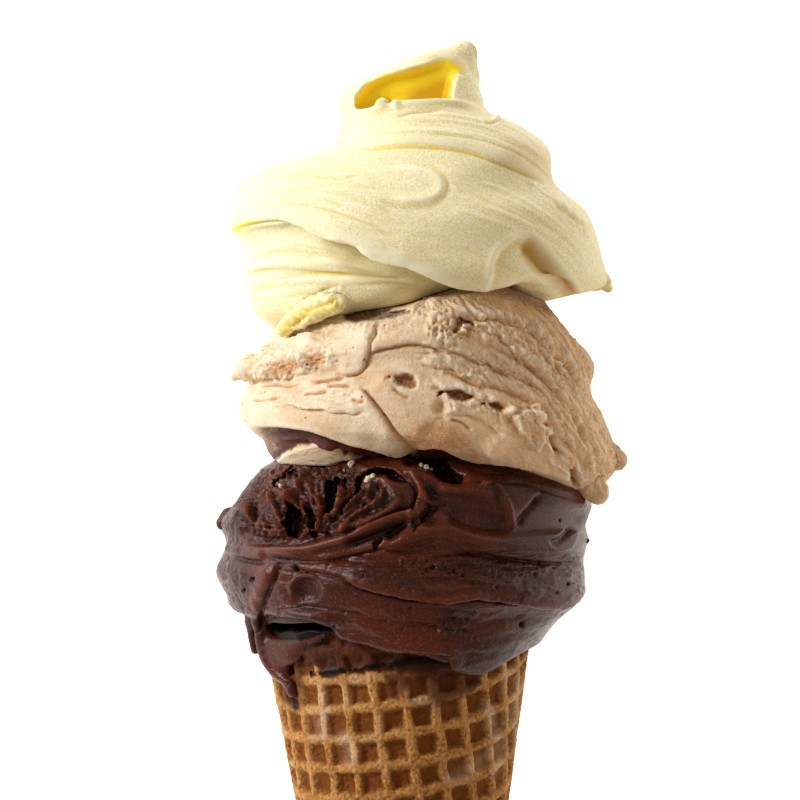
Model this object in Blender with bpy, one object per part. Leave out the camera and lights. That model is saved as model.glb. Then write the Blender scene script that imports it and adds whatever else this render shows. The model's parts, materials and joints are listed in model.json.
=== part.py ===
"""Three swirled layers of gelato in a rolled waffle cone, lying on its back.

The cone's axis is level and runs along +Y, from the tip to the lemon peak. The shown side faces +Z.
Sizes are in millimetres: "across" is +X, "along" is measured up the object from the tip of the cone,
and "deep" is measured from the axis towards +Z.
"""

import math

import bmesh
import bpy
import numpy as np
from mathutils import Matrix, Vector

MM = 0.001
GAP = 0.3

# Where the model lies: the axis above the floor, and the shift that centres the whole on the origin
AXIS_HEIGHT = 33.4
CENTRE_ACROSS = 3.2
CENTRE_ALONG = 128.7

# The rolled cone
CONE_HALF_ANGLE = math.radians(9.45)
CONE_LEAN = math.radians(1.82)
APEX_ACROSS = 4.55
APEX_ALONG = -1.3
RIM_ALONG = 151.0
WAFFLE_PITCH = 5.5
WAFFLE_DEPTH = 1.1
POCKET_FLOOR = 0.29
SEAM_ANGLE = math.radians(212)
SEAM_STEP = 1.2
SEAM_MIDDLE = 0.7
SEAM_OPENING = math.radians(1.2)
LATTICE_TURN = math.radians(16)
TIP_RADIUS = 2.2
TIP_REACH = 8.0
CORE_SIDES = 36

# The layers' meshes
COLUMNS = 50
ROW_LENGTH = 2.2


# A station is one ring of a layer. Its line crosses the shown side from the left outline to the right
# one, as (across, along) points. After the line come the ring's depth at the front and at the back.
LEMON_STATIONS = [
    ([(0.2, 253.6), (6.0, 256.3), (14.0, 253.0)], 4.5, 5.0),
    ([(-10.4, 248.0), (2.0, 247.5), (15.2, 247.0)], 11.5, 13.0),
    ([(-11.2, 241.8), (2.0, 244.6), (16.4, 244.0)], 14.0, 14.5),
    ([(-13.2, 236.9), (2.0, 239.6), (22.0, 241.4)], 18.5, 19.5),
    ([(-19.6, 235.2), (4.0, 233.6), (27.4, 237.2)], 24.0, 24.5),
    ([(-29.3, 231.3), (0.0, 228.4), (28.7, 230.6)], 29.5, 29.5),
    ([(-31.8, 225.2), (0.0, 223.4), (34.7, 225.0)], 32.6, 33.2),
    ([(-31.4, 222.2), (-15.0, 222.6), (0.0, 218.6), (37.5, 216.5)], 33.6, 34.6),
    ([(-29.9, 220.3), (-20.0, 222.4), (-10.0, 220.6), (0.0, 216.3), (12.0, 213.3), (38.4, 212)], 33, 34.6),
    ([(-27.6, 218.8), (-20.0, 220.8), (-10.0, 219.0), (0.0, 215.0), (12.0, 212.2), (34.4, 210)], 29.2, 31),
    ([(-29.0, 214.4), (-14.0, 215.4), (0.0, 213.3), (12.0, 211.6), (32.0, 209.3)], 29.6, 29.5),
    ([(-27.4, 207.4), (-12.0, 209.4), (0.0, 211.9), (12.0, 211.0), (29.5, 208.3)], 27.8, 27.0),
    ([(-23.7, 203.9), (-12.0, 207.4), (0.0, 210.8), (12.0, 210.3), (26.8, 207.4)], 25.0, 24.0),
]
HAZELNUT_STATIONS = [
    LEMON_STATIONS[-1],
    ([(-25.4, 199.6), (-14.0, 203.2), (0.0, 207.4), (14.0, 206.6), (31.0, 203.4)], 28.4, 28.0),
    ([(-29.9, 196.2), (-14.0, 198.6), (0.0, 202.2), (16.0, 201.2), (35.6, 197.4)], 31.2, 32.6),
    ([(-28.0, 193.6), (-14.0, 194.6), (0.0, 196.8), (16.0, 195.0), (35.2, 192.4)], 31.0, 33.0),
    ([(-29.9, 189.6), (-12.0, 190.0), (0.0, 190.6), (16.0, 189.0), (37.6, 187.2)], 32.6, 34.6),
    ([(-28.6, 186.0), (-12.0, 186.0), (0.0, 185.2), (16.0, 184.4), (39.6, 182.0)], 32.2, 34.6),
    ([(-25.6, 183.6), (-12.0, 182.6), (0.0, 182.0), (16.0, 180.0), (40.4, 178.8)], 29.4, 33.0),
    ([(-24.5, 181.2), (-12.0, 180.8), (0.0, 180.9), (16.0, 178.6), (38.2, 175.6)], 26.4, 29.0),
    ([(-23.4, 179.6), (-12.0, 179.4), (0.0, 180.2), (16.0, 177.6), (35.2, 172.5)], 24.0, 26.0),
]
CHOCOLATE_STATIONS = [
    HAZELNUT_STATIONS[-1],
    ([(-26.9, 176.6), (-12.0, 177.2), (0.0, 177.8), (16.0, 175.6), (35.4, 170.6)], 28.0, 30.0),
    ([(-31.0, 171.0), (-14.0, 172.0), (0.0, 172.6), (16.0, 171.4), (34.3, 167.4)], 31.4, 33.0),
    ([(-33.4, 168.0), (-14.0, 167.0), (0.0, 167.2), (16.0, 166.6), (34.8, 164.8)], 33.0, 34.6),
    ([(-32.1, 164.0), (0.0, 162.4), (34.0, 161.4)], 32.2, 34.4),
    ([(-34.0, 159.0), (0.0, 157.4), (34.2, 157.4)], 33.0, 34.6),
    ([(-32.2, 154.6), (0.0, 152.8), (34.1, 154.6)], 32.4, 33.0),
    ([(-31.0, 152.0), (-12.0, 150.6), (0.0, 149.0), (32.0, 152.2)], 31.0, 31.0),
    ([(-27.4, 150.6), (-12.0, 149.6), (0.0, 146.9), (12.0, 143.4), (28.4, 149.0)], 29.6, 29.4),
    ([(-26.8, 149.0), (-11.0, 148.6), (0.0, 145.8), (12.0, 141.8), (19.0, 143.2), (25.8, 145.6)], 28, 28.2),
    ([(-26.2, 149.8), (-11.0, 149.8), (0.0, 147.0), (12.0, 143.0), (19.0, 144.2), (25.4, 146.8)], 26.4, 27),
]
LEMON_TOP = (10.6, 256.6, -1.0)
LEMON_FOOT = (1.5, 207.0, 0.0)
HAZELNUT_FOOT = (5.0, 177.5, 0.0)
CHOCOLATE_FOOT = (0.0, 144.0, 0.0)

# Swirl relief on the shown side: the path as (across, along) points, the half width, and the height.
# A fold is high to the left of its path, and drops sharply to its right. A bed is sunk all over.
LEMON_RELIEF = [
    ("fold", [(-13.0, 232.6), (-3.0, 226.8), (6.5, 224.2), (10.2, 227.6), (7.0, 231.6)], 5.0, 2.2),
    ("fold", [(13.0, 240.0), (20.0, 236.5), (27.0, 230.5)], 3.5, 1.4),
    ("ridge", [(-9.0, 241.6), (3.0, 243.4), (14.0, 243.4)], 1.8, 1.3),
    ("ridge", [(15.5, 213.0), (18.0, 219.0), (23.5, 221.5), (30.0, 218.0)], 3.0, 1.6),
    ("ridge", [(20.0, 214.5), (25.0, 216.0), (29.5, 212.0)], 3.4, -3.0),
    ("ridge", [(-27.0, 214.4), (-16.0, 214.4), (-4.0, 213.0)], 1.4, -1.0),
]
HAZELNUT_RELIEF = [
    ("fold", [(-26.5, 200.0), (-16.0, 199.6), (-5.0, 203.5)], 4.0, 1.8),
    ("fold", [(-6.0, 193.4), (-3.0, 187.6), (1.5, 182.8)], 5.0, 1.8),
    ("ridge", [(-24.0, 198.0), (-18.0, 197.6), (-12.0, 198.2)], 2.6, -2.2),
    ("ridge", [(-1.5, 194.6), (6.0, 193.4), (13.5, 191.6)], 2.4, -1.8),
    ("fold", [(4.0, 205.0), (16.0, 199.5), (27.0, 189.5), (33.0, 178.5)], 3.4, 1.0),
    ("fold", [(8.0, 199.5), (17.0, 193.5), (25.0, 184.5), (29.0, 177.5)], 3.4, 1.0),
]
CHOCOLATE_RELIEF = [
    ("bed", [(-29.5, 169.5), (-19.0, 174.0), (-6.0, 174.5), (0, 170), (-6, 166.0), (-18.0, 165.4)], 3, -5.0),
    ("ridge", [(1.0, 177.0), (3.4, 172.0), (0, 167.6), (-9.0, 164.6), (-20.0, 163.6), (-29, 164)], 2.6, 2),
    ("ridge", [(2.5, 176.5), (8.0, 173.6), (17.0, 173.4)], 2.4, 1.8),
    ("bed", [(23.5, 168.4), (32.0, 169.0), (31.0, 165.4), (24.0, 164.6)], 2.4, -2.0),
    ("fold", [(33.0, 160.6), (20.0, 162.4), (6.0, 162.2), (-4.0, 163.0)], 3.6, 1.4),
    ("fold", [(-21.5, 157.6), (-8.0, 156.8), (6.0, 154.6), (20.0, 153.8), (33.0, 153.6)], 3.2, 1.4),
    ("ridge", [(-21.6, 160.6), (-24.0, 155.0), (-25.6, 149.6)], 1.6, 1.6),
]
BACK_FOLD_TURNS = 2.0
BACK_FOLD_SPACING = 9.0
BACK_FOLD_HEIGHT = 0.9

# The hollow in the curl at the top, as centre, radii and turn in the plane of the view
POCKET_CENTRE = (1.6, 249.6, 9.5)
POCKET_RADII = (10.0, 4.9, 9.5)
POCKET_TURN = math.radians(14)

# Curls, nubs and drips: the path as (across, along, deep) points with a radius each
LEMON_LIMBS = [
    [(10.0, 249.0, -2.0, 4.0), (11.3, 253.6, -1.4, 3.3), (12.1, 256.9, -1.0, 1.9)],
    [(34.0, 214.0, 3.0, 3.6), (37.4, 212.2, 3.4, 1.9), (38.4, 211.2, 3.6, 0.9)],
    [(-22.5, 209.0, 17.0, 2.6), (-19.5, 206.6, 20.4, 2.8), (-13.0, 210.0, 24.6, 2.4)],
]
HAZELNUT_LIMBS = [
    [(23.2, 189.5, 23.6, 2.0), (23.6, 186.0, 24.2, 2.6), (22.6, 181.4, 23.8, 1.8)],
]
CHOCOLATE_LIMBS = [
    [(-25.0, 153.6, 13, 3.0), (-24.4, 147.5, 12.2, 2.4), (-21.4, 142.0, 14.8, 2.2), (-19.8, 138, 15.6, 1.3)],
]

MATERIALS = {
    "waffle": ((0.46, 0.24, 0.085), 0.75),
    "chocolate": ((0.045, 0.013, 0.007), 0.35),
    "hazelnut": ((0.72, 0.52, 0.35), 0.6),
    "lemon": ((0.90, 0.85, 0.55), 0.55),
}


def clear_scene():
    for item in list(bpy.data.objects):
        bpy.data.objects.remove(item, do_unlink=True)


def new_collection(name):
    collection = bpy.data.collections.new(name)
    bpy.context.scene.collection.children.link(collection)
    return collection


def new_material(name):
    colour, roughness = MATERIALS[name]
    material = bpy.data.materials.new(name)
    material.use_nodes = True
    shader = material.node_tree.nodes["Principled BSDF"]
    shader.inputs["Base Color"].default_value = (*colour, 1.0)
    shader.inputs["Roughness"].default_value = roughness
    shader.inputs["Metallic"].default_value = 0.0
    return material


def new_object(name, bm, collection):
    """A mesh object from a bmesh in millimetres."""
    bmesh.ops.scale(bm, vec=(MM, MM, MM), verts=bm.verts)
    mesh = bpy.data.meshes.new(name)
    bm.to_mesh(mesh)
    bm.free()
    item = bpy.data.objects.new(name, mesh)
    collection.objects.link(item)
    return item


def place(across, along, deep):
    """World place, in millimetres, of a point given across, along and deep."""
    return (across - CENTRE_ACROSS, along - CENTRE_ALONG, deep + AXIS_HEIGHT)


def smooth_path(points, steps):
    """Points on the Catmull-Rom curve through the given ones, with the given steps in each span."""
    points = np.asarray(points, float)
    ends = np.vstack([2 * points[0] - points[1], points, 2 * points[-1] - points[-2]])
    out = []
    for k in range(len(points) - 1):
        a, b, c, d = ends[k : k + 4]
        for t in np.arange(steps[k]) / steps[k]:
            bend = (2 * a - 5 * b + 4 * c - d) * t**2 + (3 * b - a - 3 * c + d) * t**3
            out.append(0.5 * (2 * b + (c - a) * t + bend))
    out.append(points[-1])
    return np.array(out)


def station_ring(station):
    """The ring of a station: points across, along and deep, right outline first, then round the front."""
    line, front, back = station
    path = smooth_path(line, [8] * (len(line) - 1))
    left, right = path[0], path[-1]
    turn = np.arange(COLUMNS) / COLUMNS * 2 * math.pi
    across = (left[0] + right[0]) / 2 + (right[0] - left[0]) / 2 * np.cos(turn)
    shown = np.interp(across, path[:, 0], path[:, 1])
    hidden = left[1] + (right[1] - left[1]) * (across - left[0]) / (right[0] - left[0])
    side = np.sin(turn)
    along = np.where(side >= 0, shown, hidden)
    deep = np.where(side >= 0, front * side, back * side)
    return np.stack([across, along, deep], axis=1)


def layer_grid(stations, drop_first, drop_last):
    """Rows of rings from the top of a layer to its foot, dropped where a neighbour touches."""
    rings = np.array([station_ring(station) for station in stations])
    rings[0, :, 1] -= drop_first
    rings[-1, :, 1] -= drop_last
    lengths = np.linalg.norm(np.diff(rings, axis=0), axis=2).mean(axis=1)
    steps = np.maximum(1, np.round(lengths / ROW_LENGTH)).astype(int)
    flat = rings.reshape(len(rings), -1)
    return smooth_path(flat, steps).reshape(-1, COLUMNS, 3)


def grid_normals(grid):
    """Outward directions of a grid of rings."""
    down = np.gradient(grid, axis=0)
    round_ = np.roll(grid, -1, axis=1) - np.roll(grid, 1, axis=1)
    normals = np.cross(down, round_)
    normals /= np.linalg.norm(normals, axis=2, keepdims=True) + 1e-9
    outward = grid[:, :, [0, 2]] - grid[:, :, [0, 2]].mean(axis=1, keepdims=True)
    facing = (normals[:, :, [0, 2]] * outward).sum(axis=2).mean()
    return normals if facing > 0 else -normals


def path_distance(across, along, path):
    """Signed distance to a path, positive to its left, and how far along it the nearest point is."""
    best = np.full(across.shape, 1e9)
    signed = np.zeros(across.shape)
    share = np.zeros(across.shape)
    for k in range(len(path) - 1):
        start, step = path[k], path[k + 1] - path[k]
        length = np.hypot(*step)
        dx, dy = across - start[0], along - start[1]
        t = np.clip((dx * step[0] + dy * step[1]) / length**2, 0, 1)
        away = np.hypot(dx - t * step[0], dy - t * step[1])
        side = np.sign(step[0] * dy - step[1] * dx)
        nearer = away < best
        best = np.where(nearer, away, best)
        signed = np.where(nearer, away * side, signed)
        share = np.where(nearer, (k + t) / (len(path) - 1), share)
    return signed, share


def relief_height(kind, points, width, height, across, along):
    """Height of one piece of swirl relief over the points of a grid."""
    if kind == "bed":
        path = smooth_path(points + points[:1], [6] * len(points))
        signed, _ = path_distance(across, along, path)
        inside = signed * -np.sign(path_area(path))
        return height * np.clip(0.5 - inside / width, 0, 1)
    path = smooth_path(points, [6] * (len(points) - 1))
    signed, share = path_distance(across, along, path)
    ends = np.clip(6 * share, 0, 1) * np.clip(6 * (1 - share), 0, 1)
    if kind == "fold":
        reach = np.where(signed > 0, width, width * 0.3)
    else:
        reach = width
    return height * ends * np.exp(-((signed / reach) ** 2))


def path_area(path):
    """Twice the signed area that a closed path goes round, positive anticlockwise."""
    x, y = path[:, 0], path[:, 1]
    return float(np.sum(x[:-1] * y[1:] - x[1:] * y[:-1]))


def add_relief(grid, relief):
    """Raise the swirls: those drawn on the shown side, and folds that wind round the back."""
    normals = grid_normals(grid)
    across, along, deep = grid[:, :, 0], grid[:, :, 1], grid[:, :, 2]
    front = np.clip(deep / 12, 0, 1)
    raised = sum(relief_height(*item, across, along) for item in relief) * front
    turn = np.arctan2(-deep, across) / (2 * math.pi)
    wave = np.cos(2 * math.pi * (along / BACK_FOLD_SPACING + BACK_FOLD_TURNS * turn))
    raised = raised + BACK_FOLD_HEIGHT * wave * np.clip(-deep / 14, 0, 1)
    rows = np.arange(len(grid))
    seam = np.clip(rows / 2, 0, 1) * np.clip((len(grid) - 1 - rows) / 2, 0, 1)
    return grid + normals * (raised * seam[:, None])[:, :, None]


def layer_mesh(grid, top, foot):
    """A closed bmesh of the rings, with a fan to a middle point at the top and at the foot."""
    grid = grid.copy()
    grid[:, :, 2] = np.maximum(grid[:, :, 2], -AXIS_HEIGHT)
    bm = bmesh.new()
    rings = [[bm.verts.new(place(*point)) for point in ring] for ring in grid.tolist()]
    count = len(rings[0])
    for upper, lower in zip(rings, rings[1:]):
        for k in range(count):
            after = (k + 1) % count
            bm.faces.new((upper[k], upper[after], lower[after], lower[k]))
    for ring, middle in ((rings[0], top), (rings[-1], foot)):
        centre = bm.verts.new(place(*middle))
        for k in range(count):
            bm.faces.new((ring[k], ring[(k + 1) % count], centre))
    bmesh.ops.recalc_face_normals(bm, faces=bm.faces)
    bmesh.ops.triangulate(bm, faces=bm.faces)
    return bm


def limb_object(name, path, collection):
    """A tapered round limb along a path, made as a curve with a radius at each point, then a mesh."""
    fine = smooth_path(path, [3] * (len(path) - 1))
    curve = bpy.data.curves.new(name, "CURVE")
    curve.dimensions = "3D"
    curve.bevel_depth = MM
    curve.bevel_resolution = 1
    curve.use_fill_caps = True
    spline = curve.splines.new("POLY")
    spline.points.add(len(fine) - 1)
    for point, (across, along, deep, radius) in zip(spline.points, fine.tolist()):
        point.co = (*(Vector(place(across, along, deep)) * MM), 1.0)
        point.radius = radius
    drawn = bpy.data.objects.new(name, curve)
    collection.objects.link(drawn)
    bpy.context.view_layer.update()
    made = bpy.data.meshes.new_from_object(drawn.evaluated_get(bpy.context.evaluated_depsgraph_get()))
    bm = bmesh.new()
    bm.from_mesh(made)
    bmesh.ops.remove_doubles(bm, verts=bm.verts, dist=1e-6)
    bmesh.ops.recalc_face_normals(bm, faces=bm.faces)
    bm.to_mesh(made)
    bm.free()
    bpy.data.objects.remove(drawn, do_unlink=True)
    limb = bpy.data.objects.new(name, made)
    collection.objects.link(limb)
    return limb


def ball_object(name, centre, radii, turn, collection):
    """An ellipsoid, turned in the plane of the view."""
    bm = bmesh.new()
    bmesh.ops.create_uvsphere(bm, u_segments=20, v_segments=12, radius=1.0)
    bmesh.ops.transform(
        bm,
        matrix=Matrix.Translation(Vector(place(*centre)))
        @ Matrix.Rotation(turn, 4, "Z")
        @ Matrix.Diagonal((*radii, 1.0)),
        verts=bm.verts,
    )
    return new_object(name, bm, collection)


def apply_boolean(target, operation, cutter=None, collection=None, solver="EXACT"):
    """One Boolean, applied at once."""
    modifier = target.modifiers.new(operation.title(), "BOOLEAN")
    modifier.operation = operation
    modifier.solver = solver
    if collection:
        modifier.operand_type = "COLLECTION"
        modifier.collection = collection
    else:
        modifier.object = cutter
    bpy.context.view_layer.update()
    made = bpy.data.meshes.new_from_object(target.evaluated_get(bpy.context.evaluated_depsgraph_get()))
    target.modifiers.clear()
    target.data = made


def fuse_limbs(target, limbs):
    """Join limbs to a layer with one union, and remove them."""
    joined = new_collection(target.name + "_limbs")
    for index, path in enumerate(limbs):
        limb_object(f"{target.name}_limb_{index}", path, joined)
    apply_boolean(target, "UNION", collection=joined)
    for item in list(joined.objects):
        bpy.data.objects.remove(item, do_unlink=True)
    bpy.data.collections.remove(joined)


def finish(item, material):
    """Clean triangles, the material, and smooth shading with sharp edges kept."""
    bm = bmesh.new()
    bm.from_mesh(item.data)
    bmesh.ops.remove_doubles(bm, verts=bm.verts, dist=2e-6)
    bmesh.ops.dissolve_degenerate(bm, edges=bm.edges, dist=2e-6)
    bmesh.ops.triangulate(bm, faces=bm.faces)
    bm.to_mesh(item.data)
    bm.free()
    item.data.materials.clear()
    item.data.materials.append(new_material(material))
    item.data.shade_smooth()
    item.data.set_sharp_from_angle(angle=math.radians(40))


def cone_place(bm):
    """Move a bmesh made round +Z, with its apex at the origin, to the cone's place."""
    to_along = Matrix.Rotation(-math.pi / 2, 4, "X")
    lean = Matrix.Rotation(CONE_LEAN, 4, "Z")
    shift = Matrix.Translation(Vector(place(APEX_ACROSS, APEX_ALONG, 0)))
    bmesh.ops.transform(bm, matrix=shift @ lean @ to_along, verts=bm.verts)


def cone_radius(height):
    """The cone's radius, which grows straight from a blunt tip."""
    return math.hypot(height * math.tan(CONE_HALF_ANGLE), TIP_RADIUS)


def near_tip(height):
    """How much of the sheet's thickness and relief is left near the tip, from 0.25 to 1."""
    return min(1.0, max(0.25, height / 35))


def core_depth(height):
    """How far the solid core lies under the waffle's ridges."""
    return 2.1 * WAFFLE_DEPTH * near_tip(height) + 0.3


def rim_height():
    return (RIM_ALONG - APEX_ALONG) / math.cos(CONE_LEAN)


def turned_solid(name, profile, segments, collection):
    """A closed solid turned round +Z from (radius, height) points, from the bottom to the top."""
    bm = bmesh.new()
    rings = []
    for radius, height in profile[1:-1]:
        ring = []
        for k in range(segments):
            turn = 2 * math.pi * k / segments
            ring.append(bm.verts.new((radius * math.cos(turn), radius * math.sin(turn), height)))
        rings.append(ring)
    for lower, upper in zip(rings, rings[1:]):
        for k in range(segments):
            after = (k + 1) % segments
            bm.faces.new((lower[k], lower[after], upper[after], upper[k]))
    for ring, (_, height) in ((rings[0], profile[0]), (rings[-1], profile[-1])):
        centre = bm.verts.new((0, 0, height))
        for k in range(segments):
            bm.faces.new((ring[k], ring[(k + 1) % segments], centre))
    bmesh.ops.recalc_face_normals(bm, faces=bm.faces)
    cone_place(bm)
    return new_object(name, bm, collection)


def cone_core(collection):
    """The solid inside of the rolled cone, with its blunt tip."""
    end = cone_radius(TIP_REACH)
    profile = [(0, 1.4), (end * 0.6, 1.9), (end * 0.9, 3.2), (end, 5.0), (end, TIP_REACH + 1.0)]
    for height in (TIP_REACH + 5.0, 35, rim_height() + 0.3):
        profile.append((cone_radius(height) - core_depth(height), height))
    profile.append((0, rim_height() + 0.3))
    return turned_solid("cone_core", profile, CORE_SIDES, collection)


def cone_socket(collection):
    """The cone's outer form grown by the gap: what the chocolate is cut by."""
    grown = SEAM_STEP * (1 - SEAM_MIDDLE) + GAP + 0.15
    top = rim_height() + 0.3 + GAP
    profile = [(0, 100), (cone_radius(100) + grown, 100), (cone_radius(top) + grown, top), (0, top)]
    return turned_solid("cone_socket", profile, COLUMNS, collection)


def waffle_sheet(collection):
    """The baked sheet: square pockets laid out flat, cut to a sector, rolled round +Z and thickened."""
    sector = 2 * math.pi * math.sin(CONE_HALF_ANGLE)
    opening = SEAM_OPENING * math.sin(CONE_HALF_ANGLE)
    reach = int(rim_height() / math.cos(CONE_HALF_ANGLE) / WAFFLE_PITCH) + 2
    bm = bmesh.new()
    corners = {}

    def vertex(u, v, sunk):
        key = (round(u, 4), round(v, 4))
        if key not in corners:
            corners[key] = bm.verts.new((u * WAFFLE_PITCH, v * WAFFLE_PITCH, sunk))
        return corners[key]

    for i in range(-reach, reach):
        for j in range(-reach, reach):
            square = [(i, j), (i + 1, j), (i + 1, j + 1), (i, j + 1)]
            outer = [vertex(u, v, 0.0) for u, v in square]
            floor = [
                vertex(
                    i + 0.5 + math.copysign(POCKET_FLOOR, u - i - 0.5),
                    j + 0.5 + math.copysign(POCKET_FLOOR, v - j - 0.5),
                    -WAFFLE_DEPTH,
                )
                for u, v in square
            ]
            bm.faces.new(floor)
            for k in range(4):
                after = (k + 1) % 4
                bm.faces.new((outer[k], outer[after], floor[after], floor[k]))
    turned = Matrix.Rotation(sector / 2 + LATTICE_TURN, 3, "Z")
    bmesh.ops.rotate(bm, cent=(0, 0, 0), matrix=turned, verts=bm.verts)
    for angle, side in ((opening / 2, -1), (sector - opening / 2, 1)):
        normal = Vector((-math.sin(angle), math.cos(angle), 0)) * side
        geometry = bm.verts[:] + bm.edges[:] + bm.faces[:]
        bmesh.ops.bisect_plane(bm, geom=geometry, plane_co=(0, 0, 0), plane_no=normal, clear_outer=True)
    for vert in bm.verts:
        slant = math.hypot(vert.co.x, vert.co.y)
        flat_angle = math.atan2(vert.co.y, vert.co.x)
        height = slant * math.cos(CONE_HALF_ANGLE)
        rolled = flat_angle / sector
        spiral = SEAM_STEP * (rolled - SEAM_MIDDLE)
        radius = cone_radius(height) + (vert.co.z + spiral) * near_tip(height)
        turn = rolled * 2 * math.pi + SEAM_ANGLE
        vert.co = (radius * math.cos(turn), -radius * math.sin(turn), height)
    for height, side in ((TIP_REACH, -1), (rim_height(), 1)):
        geometry = bm.verts[:] + bm.edges[:] + bm.faces[:]
        bmesh.ops.bisect_plane(
            bm, geom=geometry, plane_co=(0, 0, height), plane_no=(0, 0, side), clear_outer=True
        )
    thicken_inwards(bm)
    cone_place(bm)
    return new_object("waffle_sheet", bm, collection)


def thicken_inwards(bm):
    """Close the rolled sheet with an inner copy that lies inside the core, and walls along its edges."""
    edges = [edge for edge in bm.edges if edge.is_boundary]
    copy = bmesh.ops.duplicate(bm, geom=bm.verts[:] + bm.edges[:] + bm.faces[:])
    inner = {vert: copy["vert_map"][vert] for edge in edges for vert in edge.verts}
    for vert in [item for item in copy["geom"] if isinstance(item, bmesh.types.BMVert)]:
        radius = math.hypot(vert.co.x, vert.co.y)
        wanted = cone_radius(vert.co.z) - core_depth(vert.co.z) - 0.6
        vert.co.x *= wanted / radius
        vert.co.y *= wanted / radius
    faces = [item for item in copy["geom"] if isinstance(item, bmesh.types.BMFace)]
    bmesh.ops.reverse_faces(bm, faces=faces)
    for edge in edges:
        a, b = edge.verts
        bm.faces.new((a, b, inner[b], inner[a]))
    bmesh.ops.recalc_face_normals(bm, faces=bm.faces)


def make_cone(parts, tools):
    cone = waffle_sheet(parts)
    cone.name = "waffle_cone"
    core = cone_core(tools)
    apply_boolean(cone, "UNION", cutter=core)
    bpy.data.objects.remove(core, do_unlink=True)
    finish(cone, "waffle")
    return cone


def make_layer(name, stations, relief, top, foot, limbs, drops, parts):
    grid = add_relief(layer_grid(stations, *drops), relief)
    layer = new_object(name, layer_mesh(grid, top, foot), parts)
    if limbs:
        fuse_limbs(layer, limbs)
    return layer


def lowered(point):
    """A middle point of a seam, moved down by the gap."""
    return (point[0], point[1] - GAP, point[2])


def make_gelato(parts, tools):
    lemon = make_layer(
        "lemon_gelato", LEMON_STATIONS, LEMON_RELIEF, LEMON_TOP, LEMON_FOOT, LEMON_LIMBS, (0, 0), parts
    )
    pocket = ball_object("pocket", POCKET_CENTRE, POCKET_RADII, POCKET_TURN, tools)
    apply_boolean(lemon, "DIFFERENCE", cutter=pocket)
    finish(lemon, "lemon")

    hazelnut = make_layer(
        "hazelnut_gelato",
        HAZELNUT_STATIONS,
        HAZELNUT_RELIEF,
        lowered(LEMON_FOOT),
        HAZELNUT_FOOT,
        HAZELNUT_LIMBS,
        (GAP, 0),
        parts,
    )
    finish(hazelnut, "hazelnut")

    chocolate = make_layer(
        "chocolate_gelato",
        CHOCOLATE_STATIONS,
        CHOCOLATE_RELIEF,
        lowered(HAZELNUT_FOOT),
        CHOCOLATE_FOOT,
        CHOCOLATE_LIMBS,
        (GAP, 0),
        parts,
    )
    socket = cone_socket(tools)
    apply_boolean(chocolate, "DIFFERENCE", cutter=socket)
    finish(chocolate, "chocolate")
    for cutter in (pocket, socket):
        cutter.hide_render = True
        cutter.display_type = "WIRE"


def main():
    clear_scene()
    parts = new_collection("gelato")
    tools = new_collection("cutters")
    make_cone(parts, tools)
    make_gelato(parts, tools)


main()
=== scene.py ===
"""Looks for the gelato in a waffle cone: a baked, rolled cone and three swirled layers of gelato.

Lengths are in millimetres until a mesh is made. "Across" is +X, "along" is measured up the object from
the tip of the cone, and "deep" from the cone's axis towards the shown side. What is drawn on the shown
side is given in the photograph's pixels, of PIXEL millimetres each at the axis.
"""

import itertools
import json
import math

import bmesh
import bpy
import numpy as np
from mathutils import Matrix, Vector

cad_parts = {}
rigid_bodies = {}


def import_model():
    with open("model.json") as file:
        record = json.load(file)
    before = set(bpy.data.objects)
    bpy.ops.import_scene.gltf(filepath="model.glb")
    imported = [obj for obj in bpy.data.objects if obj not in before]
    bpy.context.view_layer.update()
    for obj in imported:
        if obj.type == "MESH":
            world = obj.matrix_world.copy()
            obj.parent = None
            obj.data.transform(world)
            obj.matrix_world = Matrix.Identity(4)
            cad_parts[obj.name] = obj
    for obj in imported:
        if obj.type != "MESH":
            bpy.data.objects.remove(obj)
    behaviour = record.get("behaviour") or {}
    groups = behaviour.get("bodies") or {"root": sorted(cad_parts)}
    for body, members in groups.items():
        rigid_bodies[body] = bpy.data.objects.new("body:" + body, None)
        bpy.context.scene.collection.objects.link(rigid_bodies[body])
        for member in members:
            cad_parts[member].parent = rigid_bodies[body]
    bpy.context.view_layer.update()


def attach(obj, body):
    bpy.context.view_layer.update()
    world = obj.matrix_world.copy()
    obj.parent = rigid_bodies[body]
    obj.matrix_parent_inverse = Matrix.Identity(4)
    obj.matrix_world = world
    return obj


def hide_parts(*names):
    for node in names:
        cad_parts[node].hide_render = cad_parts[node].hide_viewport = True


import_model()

MM = 0.001
GAP = 0.3

# Where the model lies, as in the solids
AXIS_HEIGHT = 33.4
CENTRE_ACROSS = 3.2
CENTRE_ALONG = 128.7

# The photograph's frame
PICTURE = 800
PIXEL = 0.185
MIDDLE_PIXEL = 400
TIP_PIXEL = 1430
CAMERA_DISTANCE = 1.4

# The light, in metres and watts: a window left of the picture, a room that is paler towards its walls,
# and a floor that glows enough to come out white
WINDOW_SPOT = (-1.66, 0.82, 0.82)
WINDOW_AIM = (0.0, 0.02, 0.03)
WINDOW_SIZE = 0.5
WINDOW_POWER = 36.0
ROOM_AT_HORIZON = 0.72
ROOM_OVERHEAD = 0.36
FLOOR_HALF = 2.0
FLOOR_GLOW = 0.82

# Cell sizes of the materials' patterns, in millimetres
LEMON_CLOUD = 10.526
HAZELNUT_CLOUD = 7.6923
CHOCOLATE_CLOUD = 8.3333
WAFFLE_CLOUD = 5.8824
NUT_SPECKS = 3.0303
SPECKLED_PLACES = 3.8462
TOASTED_PLACES = 22.222

# Real ice crystals and the grain of nut, cocoa and wafer are too fine to show in the render, so these
# cells are drawn as coarse as they need to be to show
LEMON_ICE = 0.38462
HAZELNUT_GRAIN = 0.33333
CHOCOLATE_GRAIN = 0.33333
WAFFLE_GRAIN = 0.66667

FULL_TURN = 2 * math.pi

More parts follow.
